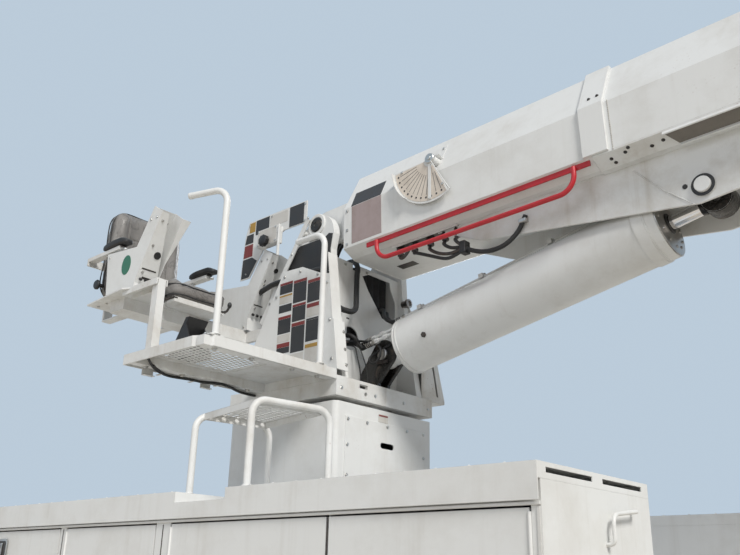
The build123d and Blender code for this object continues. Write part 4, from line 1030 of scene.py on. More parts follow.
class BOOMUNIT_OT_seat(Operator):
    """Makes the padded seat and back with piping, stitches and the parts under them"""

    bl_idname = "boom_unit.seat"
    bl_label = "Padded seat"

    def execute(self, context):
        settings = context.scene.boom_unit_seat

        def seat_form(x, y, z):
            bolster = ease(abs(y), 0.5, 0.78)
            if z > 0:
                z = z * (0.62 + 0.38 * bolster) - 0.3 * ease(x, 0.62, 1.0) * z
            return x, y * (1 - 0.02 * (1 - x * x)), z


        def back_form(x, y, z):
            if z > 0:
                z *= 0.5 + 0.5 * ease(abs(x), 0.42, 0.8) + 0.12 * math.exp(-((y + 0.45) / 0.3) ** 2)
            return x * (1 - 0.05 * ease(y, 0.2, 1.0)), y, z

        seat_place = move(-0.43, -0.735, 1.7603)
        back_place = facing((-0.766, -0.77, 2.038), X)
        seat = stuffed(
            "padded_seat", pillow((0.425, 0.355, 0.098), 0.3, 0.42, seat_form), seat_place, settings.swell,
            settings.pressure, presser(0, 1, (-0.085, 0.02, 0.115), 0.006, (0.095, 0.12), 0.115, -0.0545), "turret",
            "seat_cushion")
        back = stuffed(
            "padded_back", pillow((0.455, 0.524, 0.092), 0.27, 0.42, back_form), back_place, 0.6 * settings.swell,
            settings.pressure, presser(1, 0, (-0.1, 0.0, 0.1), 0.005, (0.115, 0.14), 0.135, -0.044), "turret",
            "seat_back")
        arms = Shape()
        for y in (-1.045, -0.495):
            pad = pillow((0.232, 0.062, 0.042), 0.45, 0.55, lambda x, y, z: (
                x, y * (1 - 0.2 * ease(-x, 0.2, 1.0)), z * (1 - 0.2 * x * x) - 0.5 * ease(x, 0.55, 1.0)))
            arms.take(pad, RUBBER, move(-0.575, y, 2.014), True)
            arms.block((0.15, 0.03, 0.008), DARK, move(-0.585, y, 1.99), 0.002)
        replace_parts(arms.piece("armrest_pads", "turret", "black_plastic", sharp=60), "armrests")
        trim = Shape()
        for made, place, heights in ((seat, seat_place, (0.012, -0.04)), (back, back_place, (0.006, -0.03))):
            for height in heights:
                trim.pipe(rim(made, place, height), 0.0035, sides=2, closed=True, steps=3)
        trim.piece("seat_piping", "turret", "vinyl")

        def stitches(start, count):
            return [start + 0.02 * k for k in range(count)]

        rows = [on_cover(seat, seat_place, [(x, y) for x in stitches(-0.17, 18)]) for y in (-0.122, 0.122)]
        rows += [on_cover(seat, seat_place, [(x, y) for y in stitches(-0.1, 11)]) for x in (-0.093, 0.012, 0.107)]
        rows += [on_cover(back, back_place, [(x, y) for y in stitches(-0.19, 20)]) for x in (-0.143, 0.143)]
        rows += [on_cover(back, back_place, [(x, y) for x in stitches(-0.12, 13)]) for y in (-0.108, -0.008, 0.092)]
        bead_rows("seat_stitches", "turret", rows, settings.stitch, (0.0026, 0.0008, 0.0008), "mauve enamel",
                  "vinyl")

        under = Shape()
        for y in (-0.885, -0.585):
            under.block((0.4, 0.034, 0.012), DARK, move(-0.44, y, 1.6985), 0.002)
            under.block((0.3, 0.02, 0.01), ZINC, move(-0.45, y, 1.688), 0.002)
        for y in (-1.009, -0.531):
            knob = facing((-0.772, y, 1.845), -Y if y < -0.8 else Y)
            under.turned([(0.01, -0.02), (0.01, 0.004), (0.025, 0.006), (0.027, 0.016), (0.022, 0.022), (0, 0.024)],
                         PLASTIC, knob, 20)
        under.pipe([(-0.23, -0.6, 1.69), (-0.2, -0.6, 1.685), (-0.185, -0.6, 1.69), (-0.175, -0.6, 1.71)], 0.006,
                   DARK)
        under.ball(0.014, PLASTIC, move(-0.173, -0.6, 1.716), (0.8, 0.8, 1.2))
        for y in (-1.045, -0.495):
            for x in (-0.66, -0.49):
                under.turned([(0.012, 0), (0.012, 0.006), (0.008, 0.01), (0, 0.01)], ZINC,
                             facing((x, y, 1.971), -Z, X), 12)
        under.piece("seat_slides", "turret", "black_plastic")
        return {"FINISHED"}


# Placards and sign board


# Blank placards on the upright panel, by column from x to x: z from, z to, finish, header height and finish
PLACARDS = {
    (-0.05, 0.046): [
        (1.806, 1.868, SLATE, 0.014, WINE),
        (1.752, 1.799, PALE, 0.01, AMBER),
        (1.703, 1.745, SLATE, 0, None),
        (1.588, 1.682, SLATE, 0.016, WINE),
        (1.543, 1.582, PALE, 0, None),
        (1.482, 1.537, SLATE, 0.024, WINE),
    ],
    (0.055, 0.152): [
        (1.738, 1.862, SLATE, 0.016, WINE),
        (1.637, 1.73, SLATE, 0.014, WINE),
        (1.474, 1.63, SLATE, 0.02, WINE),
        (1.402, 1.466, PALE, 0, None),
    ],
    (0.162, 0.262): [
        (1.72, 1.842, SLATE, 0.018, WINE),
        (1.642, 1.712, PALE, 0.022, WINE),
        (1.514, 1.634, SLATE, 0.01, SLATE),
        (1.404, 1.5, PALE, 0.02, AMBER),
    ],
}

# Blank blocks on the sign board: corners as (x, z), finish
BOARD_BLOCKS = [
    (rect(-0.062, 0.052, 2.216, 2.336), SLATE),
    (rect(-0.345, -0.232, 2.246, 2.335), SLATE),
    (rect(-0.4, -0.352, 2.272, 2.332), AMBER),
    ([(-0.433, 2.206), (-0.362, 2.206), (-0.362, 2.262), (-0.42, 2.262)], SLATE),
    ([(-0.438, 2.122), (-0.362, 2.122), (-0.362, 2.198), (-0.433, 2.198)], WINE),
    ([(-0.446, 1.998), (-0.38, 1.998), (-0.318, 2.084), (-0.362, 2.114), (-0.44, 2.114)], SLATE),
    (rect(-0.222, -0.075, 2.262, 2.33), PALE),
]

class BOOMUNIT_OT_placards(Operator):
    """Makes the blank placards on the upright panel and the blank blocks, knob and bar of the sign board"""

    bl_idname = "boom_unit.placards"
    bl_label = "Placards and sign board"

    def execute(self, context):
        placards = Shape()
        front = facing((0, PANEL_Y, 0), -Y)
        for column, entries in PLACARDS.items():
            for z0, z1, finish, header, header_finish in entries:
                top = z1 - header
                placards.slab(rect(*column, z0, top), 0.0012, finish, front, 0.0004)
                if header:
                    placards.slab(rect(*column, top + 0.0012, z1), 0.0013, header_finish, front, 0.0004)
        placards.piece("blank_placards", "turret")
        board = Shape()
        front = facing((0, BOARD_Y, 0), -Y)
        for outline, finish in BOARD_BLOCKS:
            board.slab(outline, 0.0014, finish, front, 0.0004)
        knob = facing((-0.195, -0.366, 2.152), -Y)
        board.turned([(0.018, 0), (0.018, 0.01), (0.031, 0.012), (0.033, 0.022), (0.031, 0.034), (0.024, 0.038),
                      (0, 0.039)], PLASTIC, knob)
        for k in range(9):
            turn = spin(2 * math.pi * k / 9)
            board.block((0.005, 0.008, 0.022), PLASTIC, knob @ turn @ move(0.0315, 0, 0.023), 0.002)
        board.block((0.012, 0.014, 0.186), WHITE, move(-0.098, -0.3655, 2.1405), 0.003)
        board.block((0.016, 0.01, 0.03), WHITE, move(-0.11, -0.3625, 2.2), 0.002)
        board.block((0.15, 0.0015, 0.092), PALE, move(-0.195, -0.3665, 2.185), 0.0005)
        board.piece("board_blocks", "turret")
        spots = [
            (x, BOARD_Y, z) for x, z in ((-0.4, 2.318), (-0.405, 2.02), (0.06, 2.325), (0.06, 2.224),
                (-0.21, 2.325))]
        spots += [(x, -0.366, z) for x in (-0.265, -0.125) for z in (2.145, 2.226)]
        spots += [(x, -0.331, z) for x, z in ((-0.175, 1.795), (-0.02, 2.043), (0.095, 2.226))]
        fasteners("board_screws", "turret", heads(-Y, spots), "screw", 0.85)
        spots = [
            (x, PANEL_Y, z) for x, z in ((-0.195, 1.375), (-0.195, 1.54), (-0.075, 1.8), (-0.02, 1.9), (0.1, 1.905),
                (0.23, 1.86), (0.3, 1.8), (0.33, 1.6), (0.352, 1.4), (-0.12, 1.38), (0.02, 1.38))]
        fasteners("panel_screws", "turret", heads(-Y, spots), "screw")
        return {"FINISHED"}


# Consoles and platform


CONSOLE_LEAN = Vector((0.176, 0, 0.331)).normalized()
CONSOLE_FRONT = Y.cross(CONSOLE_LEAN)


def console_front(y):
    """Placement on a console's front flange: local x runs away from the near side, local y up the lean."""
    return facing((-0.341, y, 1.749), CONSOLE_FRONT, CONSOLE_LEAN)


class BOOMUNIT_OT_consoles(Operator):
    """Makes the levers, fascias, plugs and slots of the two control consoles"""

    bl_idname = "boom_unit.consoles"
    bl_label = "Console controls"

    def execute(self, context):
        made = Shape()
        spots = []
        for y, disc, disc_radius, slots in (
                (-1.06, (0.063, 0.159), 0.0165, [((0.05, 0.078), (0.08, 0.007)), ((0.062, 0.033), (0.07, 0.012))]),
                (-0.34, (0.062, 0.293), 0.0125, [((0.036, 0.078), (0.062, 0.006)),
                    ((0.018, 0.22), (0.006, 0.016))])):
            front = console_front(y)
            made.turned([(disc_radius * 1.15, 0), (disc_radius * 1.15, 0.0022), (disc_radius, 0.0034),
                         (disc_radius * 0.6, 0.0028), (0, 0.0022)], PLASTIC, front @ move(*disc, 0), 22)
            # the slots are flat dark blocks: painted shade of their openings
            for (x, height), (width, tall) in slots:
                made.block((width, tall, 0.002), DARK, front @ move(x, height, 0.0004), 0.0008)
            for x in (0.022, 0.052, 0.082):
                made.turned([(0.0075, 0), (0.0075, 0.01), (0.0058, 0.013), (0, 0.013)], PLASTIC,
                            front @ move(x, 0.024, 0), 12)
            # sloping fascia between the two plates, with a booted lever and a row of switches
            foot, head = Vector((-0.357, y + 0.06, 1.94)), Vector((-0.236, y + 0.06, 2.13))
            rise = (head - foot).normalized()
            face = facing(foot - rise * 0.004, rise.cross(Y), rise)
            made.slab(rect(-0.058, 0.058, 0, 0.226), -0.004, WHITE, face)
            boot = face @ move(0, 0.078, 0)
            made.turned([(0.036, 0), (0.036, 0.003), (0.03, 0.006), (0.031, 0.012), (0.025, 0.015), (0.026, 0.021),
                         (0.02, 0.024), (0.02, 0.03), (0.011, 0.034), (0.008, 0.038), (0.013, 0.044),
                         (0.015, 0.052), (0.013, 0.06), (0, 0.063)], RUBBER, boot, 24)
            for k, tint in enumerate((SLATE, "green enamel", AMBER, SLATE)):
                at = face @ move(-0.038 + 0.0255 * k, 0.168, 0)
                made.block((0.017, 0.024, 0.005), PLASTIC, at)
                made.block((0.011, 0.016, 0.009), tint, at @ Matrix.Rotation(0.2, 4, "X"), 0.0015)
            stop = face @ move(0.0, 0.204, 0)
            made.turned([(0.016, 0), (0.016, 0.006), (0.01, 0.008), (0.01, 0.016), (0.019, 0.018), (0.018, 0.026),
                         (0.01, 0.031), (0, 0.032)], WINE, stop, 20)
            # lid over the rear part
            rear, mid = Vector((-0.629, y + 0.06, 1.967)), Vector((-0.357, y + 0.06, 1.94))
            level = (mid - rear).normalized()
            lid = facing(rear, level.cross(Y), level)
            made.slab(rect(-0.058, 0.058, 0.012, 0.264), -0.004, WORN, lid)
            for x in (-0.045, 0.045):
                for along in (0.014, 0.212):
                    spots.append(on_face(face, x, along))
                for along in (0.03, 0.245):
                    spots.append(on_face(lid, x, along))
            spots += [on_face(front, 0.02, along) for along in (0.06, 0.2, 0.33)]
            corners = [(-0.57, 1.7), (-0.37, 1.7), (-0.6, 1.94)]
            spots += heads(-Y, [(x, y - 0.002, z) for x, z in corners + [(-0.255, 2.06), (-0.205, 2.06)]])
            spots += heads(Y, [(x, y + 0.122, z) for x, z in corners + [(-0.262, 2.06), (-0.212, 2.05)]])
        oval = facing((-0.434, -1.062, 1.862), -Y)
        made.slab([(0.04 * x, 0.052 * y) for x, y in round_points(32)], 0.0014, "green enamel", oval, 0.0005)
        made.piece("console_controls", "turret")
        fasteners("console_screws", "turret", spots, "screw", 0.85)
        return {"FINISHED"}


class BOOMUNIT_OT_platform(Operator):
    """Makes the feet, bolts, cables and tread details of the platform, seat tray and step stand"""

    bl_idname = "boom_unit.platform"
    bl_label = "Platform and step fittings"

    def execute(self, context):
        made = Shape()
        spots = []
        for y in (-1.077, -0.467):
            made.slab(rect(-0.032, 0.014, -0.034, 0.034), 0.006, WORN, move(0.37, y, 1.345), 0.001)
            made.turned([(0.022, 0), (0.019, 0.004), (0.0155, 0.008)], WORN, move(0.37, y, 1.351), 20)
            spots += heads(Z, [(0.346, y + dy, 1.351) for dy in (-0.024, 0.024)])
        # end caps on the grab rails' arms
        lean = math.radians(17)
        way = Vector((-math.cos(lean), -math.sin(lean), 0))
        tip = Vector((0.37 - 0.21 * math.cos(lean), -1.077 - 0.21 * math.sin(lean), 2.027))
        for at, out in ((tip - way * 0.006, way), (Vector((0.17, -0.467, 2.019)) + X * 0.006, -X)):
            made.turned([(0.0158, -0.012), (0.0158, 0.003), (0.012, 0.0055), (0, 0.006)], WHITE, facing(at, out),
                        18)
        # rubber ribs on the treadle pad of the foot pedal
        slope = Vector((0.134, 0, 0.184)).normalized()
        pad = facing((-0.083, -0.9, 1.4385), slope.cross(Y), slope)
        for k in range(7):
            made.block((0.092, 0.006, 0.004), RUBBER, pad @ move(0, -0.08 + 0.026 * k, 0.0015))
        # cable along the underside, held by clips
        cable = [(-0.2, -0.367, 1.29), (-0.2, -0.43, 1.288), (-0.18, -0.509, 1.288), (-0.133, -0.591, 1.29),
                 (-0.135, -0.662, 1.292), (-0.172, -0.72, 1.29), (-0.168, -0.79, 1.29), (-0.188, -0.85, 1.29),
                 (-0.198, -0.91, 1.29), (-0.166, -0.987, 1.292), (-0.11, -1.06, 1.3), (-0.055, -1.114, 1.31)]
        made.pipe(cable, 0.0065, sides=2)
        made.pipe([(x, y + 0.014, z) for x, y, z in cable[:-1]], 0.0045, sides=2)
        for x, y in ((-0.145, -0.66), (-0.176, -0.79), (-0.176, -0.97)):
            made.block((0.034, 0.014, 0.003), ZINC, move(x, y, 1.2805))
        for y in (-1.015, -0.684):
            made.block((0.004, 0.06, 0.04), WHITE, move(-0.203, y, 1.289))
            made.block((0.02, 0.06, 0.004), WHITE, move(-0.195, y, 1.271))
        made.piece("platform_fittings", "turret", "white_paint")
        # tray fixings seen from below and above
        spots += heads(
            -Z, [(x, y, 1.67) for x, y in ((-0.6, -1.09), (-0.6, -0.7), (-0.6, -0.24), (-0.4, -0.24), (-0.4, -0.5),
                (-0.3, -1.11), (-0.25, -1.11), (-0.52, -1.09), (-0.5, -0.88), (-0.5, -0.58), (-0.38, -0.88))])
        spots += heads(Z, [(x, y, 1.678) for x, y in ((-0.6, -1.1), (-0.62, -0.24), (-0.4, -0.24), (-0.26, -1.1))])
        spots += heads(-X, [(-0.8273, y, z) for y in (-0.91, -0.63) for z in (1.8, 1.9, 2.1)])
        spots += heads(Z, [(x, -1.119, 1.3455) for x in (-0.16, -0.07, 0.12, 0.26, 0.36)])
        fasteners("platform_bolts", "turret", spots, "screw")
        spots = heads(-Z, [(x, y, 1.298) for x in (-0.15, 0.35) for y in (-0.46, -0.62, -0.86, -1.06)])
        fasteners("platform_rib_bolts", "turret", spots, "bolt", 0.8)

        step = Shape()
        spots = []
        for x, y in ((0.73, -1.15), (0.2868, -1.0719), (0.7908, -0.8053), (0.3476, -0.7272)):
            turn = move(x, y, 0.701) @ STEP_TURN
            step.slab(rect(-0.036, 0.036, -0.034, 0.034), 0.006, WORN, turn, 0.001)
            step.turned([(0.022, 0), (0.018, 0.005), (0.0145, 0.009)], WORN, turn @ move(0, 0, 0.006), 18)
            spots += [(turn @ Vector((dx, 0, 0.006)), Z) for dx in (-0.026, 0.026)]
        step.piece("step_feet", "truck_body", "white_paint")
        fasteners("step_bolts", "truck_body", spots, "screw")
        return {"FINISHED"}


# Hoses


def ferrule(shape, at, way, radius):
    """Crimped hose end with a hexagon nut, pointing along way."""
    place = facing(at, way)
    shape.turned([(0.9 * radius, -0.045), (1.25 * radius, -0.044), (1.3 * radius, -0.006), (1.1 * radius, 0)], ZINC,
                 place, 14)
    shape.hexagon([(1.5 * radius, 0), (1.62 * radius, 0.002), (1.62 * radius, 0.016), (1.5 * radius, 0.018)], ZINC,
                  place)
    for k in range(3):
        shape.turned([(1.36 * radius, -0.038 + 0.011 * k), (1.36 * radius, -0.032 + 0.011 * k)], DARK, place, 14)


class BOOMUNIT_OT_hoses(Operator):
    """Makes the hoses that cross from the turret to the lift cylinder and to the boom"""

    bl_idname = "boom_unit.hoses"
    bl_label = "Hoses"

    def execute(self, context):
        # Oil feeds: out of the round hole in the turret's front, over to the cylinder's two fittings
        feed = Shape()
        hole = Vector((0.228, -0.116, 1.5805))
        for (across, above, along), (dy, dz) in (
                ((-0.062, 0.097, -0.052), (-0.02, 0.016)), ((-0.084, 0.064, -0.02), (0.016, -0.018))):
            end = on_barrel(along, across, above)
            inside = hole + Vector((-0.14, dy - 0.02, dz + 0.05))
            gate = hole + Vector((0, dy, dz))
            feed.pipe([inside, gate - X * 0.03, gate + X * 0.025 - Z * 0.006, gate.lerp(end, 0.45) - Z * 0.022,
                       end - LIFT_DIR * 0.085 - Z * 0.006, end - LIFT_DIR * 0.028, end + LIFT_DIR * 0.002], 0.0105)
            ferrule(feed, end - LIFT_DIR * 0.002, LIFT_DIR, 0.0105)
        # slack loop of the small drain hose, and the thin leads beside it
        first = on_barrel(-0.035, -0.072, 0.046)
        feed.pipe([hole + Vector((-0.08, 0.02, 0.0)), hole + Vector((0.03, 0.02, -0.012)),
                   first + Vector((0.02, 0, 0.02)), first + Vector((0.055, 0, -0.015)),
                   first + Vector((0.048, -0.006, -0.07)), first + Vector((0.0, -0.008, -0.092)),
                   first + Vector((-0.032, -0.004, -0.06)), first + Vector((-0.012, 0.016, -0.026)),
                   on_barrel(0.06, -0.05, 0.03)], 0.006)
        feed.pipe([hole + Vector((-0.05, 0.005, -0.03)), hole + Vector((0.035, 0.0, -0.04)), (0.285, -0.125, 1.49),
                   (0.3, -0.11, 1.4), (0.292, -0.095, 1.335), (0.285, -0.085, 1.255)], 0.0035, sides=1)
        feed.pipe([hole + Vector((-0.05, 0.015, -0.02)), hole + Vector((0.04, 0.02, -0.036)), (0.305, -0.1, 1.48),
                   (0.325, -0.085, 1.4), (0.322, -0.075, 1.33), (0.318, -0.07, 1.255)], 0.003, PLASTIC, sides=1)
        feed.crossing("cylinder_hoses")

        # Return hoses: through the opening in the turret's cover to the tubes on top of the barrel
        back = Shape()
        for across, start_y, start_z in ((-0.03, 0.12, 1.8), (0.005, 0.16, 1.786)):
            tube = on_barrel(0.15, across, 0.148)
            back.pipe([(0.06, start_y + 0.02, start_z + 0.08), (0.2, start_y, start_z),
                       (0.285, start_y * 0.7, start_z - 0.02), on_barrel(0.02, across * 0.8, 0.205),
                       on_barrel(0.075, across, 0.15), on_barrel(0.135, across, 0.148),
                       on_barrel(0.158, across, 0.148)], 0.01)
            ferrule(back, tube, LIFT_DIR, 0.0095)
        back.crossing("return_hoses")

        # Boom feeds: from the swivel up behind the pivot, over it and into the boom's rear plate
        rise = Shape()
        for k, y in enumerate((0.03, 0.06, 0.09, 0.12)):
            end = on_boom(0.168, y - 0.02, 0.072)
            rise.pipe([(-0.02 + 0.012 * k, 0.4 * y, 1.33), (-0.045, 0.7 * y, 1.5), (-0.09 - 0.01 * k, y, 1.8),
                       (-0.11 - 0.012 * k, y, 2.06), (-0.095 - 0.01 * k, y, 2.225), (-0.01, y, 2.305 + 0.004 * k),
                       (0.12, y, 2.318 + 0.004 * k), end - BOOM_DIR * 0.085 + BOOM_UP * 0.03,
                       end - BOOM_DIR * 0.045 + BOOM_UP * 0.002, end], 0.01)
            ferrule(rise, end - BOOM_DIR * 0.024, BOOM_DIR, 0.01)
        for x, z, turn in ((-0.083, 1.72, 0.12), (-0.118, 1.98, 0.0)):
            rise.block((0.03, 0.13, 0.018), PLASTIC, move(x, 0.068, z) @ Matrix.Rotation(turn, 4, "Y"), 0.004)
        rise.crossing("boom_hoses")
        return {"FINISHED"}


# Turret


class BOOMUNIT_OT_turret(Operator):
    """Makes the swivel, slewing drive, valve block, pin keepers, a black sheet of painted shade inside the cover's
    opening, and bolts of the turret
    """

    bl_idname = "boom_unit.turret"
    bl_label = "Turret fittings"

    def execute(self, context):
        made = Shape()
        # slewing gearbox and motor
        drive = move(-0.19, 0.13, DECK_Z)
        made.turned([(0.098, 0), (0.098, 0.018), (0.086, 0.02), (0.086, 0.07), (0.092, 0.072), (0.092, 0.086),
                     (0.074, 0.09), (0.074, 0.15), (0.06, 0.158), (0.06, 0.18), (0, 0.18)], "grey paint", drive, 32)
        made.turned([(0.046, 0.18), (0.046, 0.205), (0.052, 0.208), (0.052, 0.3), (0.045, 0.308), (0, 0.308)], DARK,
                    drive, 24)
        for side in SIDES:
            port = facing((-0.19, 0.13 + side * 0.048, DECK_Z + 0.262), Y * side)
            made.fitting(0.016, 0, 0.014, 0.011, 0.03, ZINC, port)
            made.pipe([(-0.19, 0.13 + side * 0.075, DECK_Z + 0.262), (-0.19, 0.13 + side * 0.11, DECK_Z + 0.262),
                       (-0.19, 0.13 + side * 0.12, DECK_Z + 0.2), (-0.13, 0.08 + side * 0.05, DECK_Z + 0.1),
                       (-0.06, 0.03 + side * 0.02, DECK_Z + 0.07)], 0.0085)
        # valve block with its spools and ports
        made.block((0.15, 0.11, 0.095), DARK, move(-0.2, -0.12, DECK_Z + 0.0476), 0.004)
        for k in range(4):
            x = -0.254 + 0.036 * k
            made.turned([(0.014, 0), (0.014, 0.022), (0.01, 0.024), (0.01, 0.045), (0.006, 0.047), (0, 0.047)],
                        ZINC, move(x, -0.1, DECK_Z + 0.095), 16)
            made.fitting(0.012, 0, 0.012, 0.009, 0.024, ZINC, facing((x, -0.065, DECK_Z + 0.048), Y))
        # rotary union
        made.turned([(0.072, -0.006), (0.072, 0.01), (0.06, 0.012), (0.06, 0.064), (0.048, 0.068), (0.048, 0.086),
                     (0.03, 0.09), (0, 0.09)], STEEL, move(0, 0, DECK_Z), 32)
        for x, y in round_points(6, 1.0, 0.2):
            way = Vector((x, y, 0))
            made.fitting(
                0.012, -0.004, 0.014, 0.009, 0.028, ZINC, facing(Vector((0, 0, DECK_Z + 0.04)) + way * 0.058, way))
        # folded black rubber sheet behind the cover's opening, with a dark bar across it: painted shade, standing
        # in for the turret's shadowed inside
        front = [(-0.06 + 0.318 * k / 40, 0.15 + 0.012 * math.sin(0.9 * k)) for k in range(41)]
        back = [(y, x - 0.004) for y, x in reversed(front)]
        made.slab([(x, y) for y, x in front + back], 0.415, RUBBER, move(0, 0, 1.61))
        made.block((0.03, 0.3, 0.012), DARK, move(0.142, 0.1, 1.7), 0.002)
        made.piece("turret_works", "turret", "steel")

        pins = Shape()
        for side in SIDES:
            face = facing((PIVOT.x, side * 0.314, PIVOT.z), Y * side)
            pins.turned([(0.04, -0.004), (0.04, 0.002), (0.036, 0.005), (0.012, 0.005), (0.01, 0.002), (0, 0.002)],
                        "grease", face, 32)
            outer = facing((PIVOT.x, side * 0.306, PIVOT.z), Y * side)
            pins.turned([(0.062, -0.002), (0.062, 0.006), (0.059, 0.008), (0.045, 0.008), (0.0425, 0.006),
                         (0.0425, -0.002)], WHITE, outer, 36, loop=True)
            pins.block((0.098, 0.022, 0.006), ZINC, outer @ move(0, -0.074, 0.003))
        for side in SIDES:
            eye = facing((BASE_PIN.x, side * 0.054, BASE_PIN.z), Y * side)
            pins.turned([(0.03, -0.004), (0.03, 0.002), (0.026, 0.004), (0.008, 0.004), (0, 0.001)], STEEL, eye, 24)
            pins.block((0.07, 0.016, 0.006), DARK, eye @ move(0, -0.04, -0.004))
        # black rubber sheet on the near wing's outer face, above the placard panel, where the wing shows black
        cover = [(-0.09, 1.94), (-0.06, 2.01), (-0.012, 2.07), (0.02, 2.088), (0.205, 2.09), (0.235, 2.108),
                 (0.262, 2.1), (0.2495, 2.02), (0.2575, 1.9), (0.1, 1.9), (-0.06, 1.915)]
        pins.slab(cover, 0.004, RUBBER, facing((0, -0.306, 0), -Y), 0.001)
        # grease fittings on the near wing's inner face, and the boss beside the opening
        for x, z in ((0.063, 2.182), (0.007, 2.192), (0.116, 2.085)):
            pins.hexagon([(0.011, 0), (0.011, 0.01), (0.007, 0.011), (0.007, 0.022), (0, 0.024)], ZINC,
                         facing((x, -0.262, z), Y))
        pins.turned([(0.02, 0), (0.02, 0.03), (0.026, 0.032), (0.026, 0.046), (0.015, 0.049), (0.012, 0.04),
                     (0, 0.04)], STEEL, facing((0.262, 0.267, 1.855), X), 24)
        # near wing's slotted front edge, seen beside the placard panel; the slots are flat dark blocks, painted
        # shade of the openings
        for z in (1.39, 1.5, 1.62):
            pins.block((0.0016, 0.02, 0.008), DARK, move(0.3675, -0.284, z), 0.0004)
        pins.piece("pin_keepers", "turret", "steel")

        deck = circle((0, 0, DECK_Z), 0.3075, 20, 0.08)
        fasteners("deck_bolts", "turret", [spot for spot in deck if abs(spot[0].y) < 0.25 and spot[0].x < 0.22],
                  "bolt", finish=DARK)
        fasteners("gearbox_bolts", "turret", circle((-0.19, 0.13, DECK_Z + 0.018), 0.091, 10), "bolt", 0.45,
                  finish=DARK)
        keeper = []
        for side in SIDES:
            keeper += heads(Y * side, [(PIVOT.x + dx, side * 0.312, PIVOT.z - 0.074) for dx in (-0.037, 0.037)])
        # cover screws, side beams, wings and panel seam
        keeper += heads(
            X, [(0.228, y, z) for y, z in ((-0.245, 1.36), (-0.245, 1.56), (-0.245, 1.76), (-0.245, 1.96),
                (0.249, 1.36), (0.249, 1.56), (0.0, 1.975), (0.249, 1.69), (-0.17, 1.975))])
        keeper += heads(X, [(0.386, y, 1.262) for y in (-0.33, -0.09, 0.13, 0.33)])
        keeper += heads(X, [(0.392 - (z - 1.345) * 0.145, -0.306, z) for z in (1.375, 1.455, 1.545)])
        keeper += heads(Y, [(x, 0.366, 1.285) for x in (-0.33, -0.18, 0.0, 0.16, 0.32)])
        keeper += heads(
            Y, [(x, 0.306, z) for x, z in ((-0.24, 1.63), (-0.1, 1.91), (0.02, 2.1), (0.22, 2.05), (0.22, 1.92))])
        fasteners("turret_screws", "turret", keeper, "screw")
        welds = []
        for side in SIDES:
            y = side * 0.307
            welds.append([Vector((-0.309 + 0.045 * k, y, 1.3185)) for k in range(16)])
            welds.append([Vector((0.2665, side * 0.262, 1.32 + 0.05 * k)) for k in range(2)])
        bead_rows("turret_welds", "turret", welds, 0.0065, (0.0052, 0.0042, 0.0036))
        return {"FINISHED"}


# Boom


def side_spots(points, y, side=-1):
    """Spots on a side face of the boom from (along, above) pairs."""
    return [(on_boom(u, side * y, w), Y * side) for u, w in points]


def slope_spots(points):
    """Spots on the near upper slope from (along, distance up the slope) pairs."""
    return [on_face(NEAR_SLOPE, along, rise) for along, rise in points]


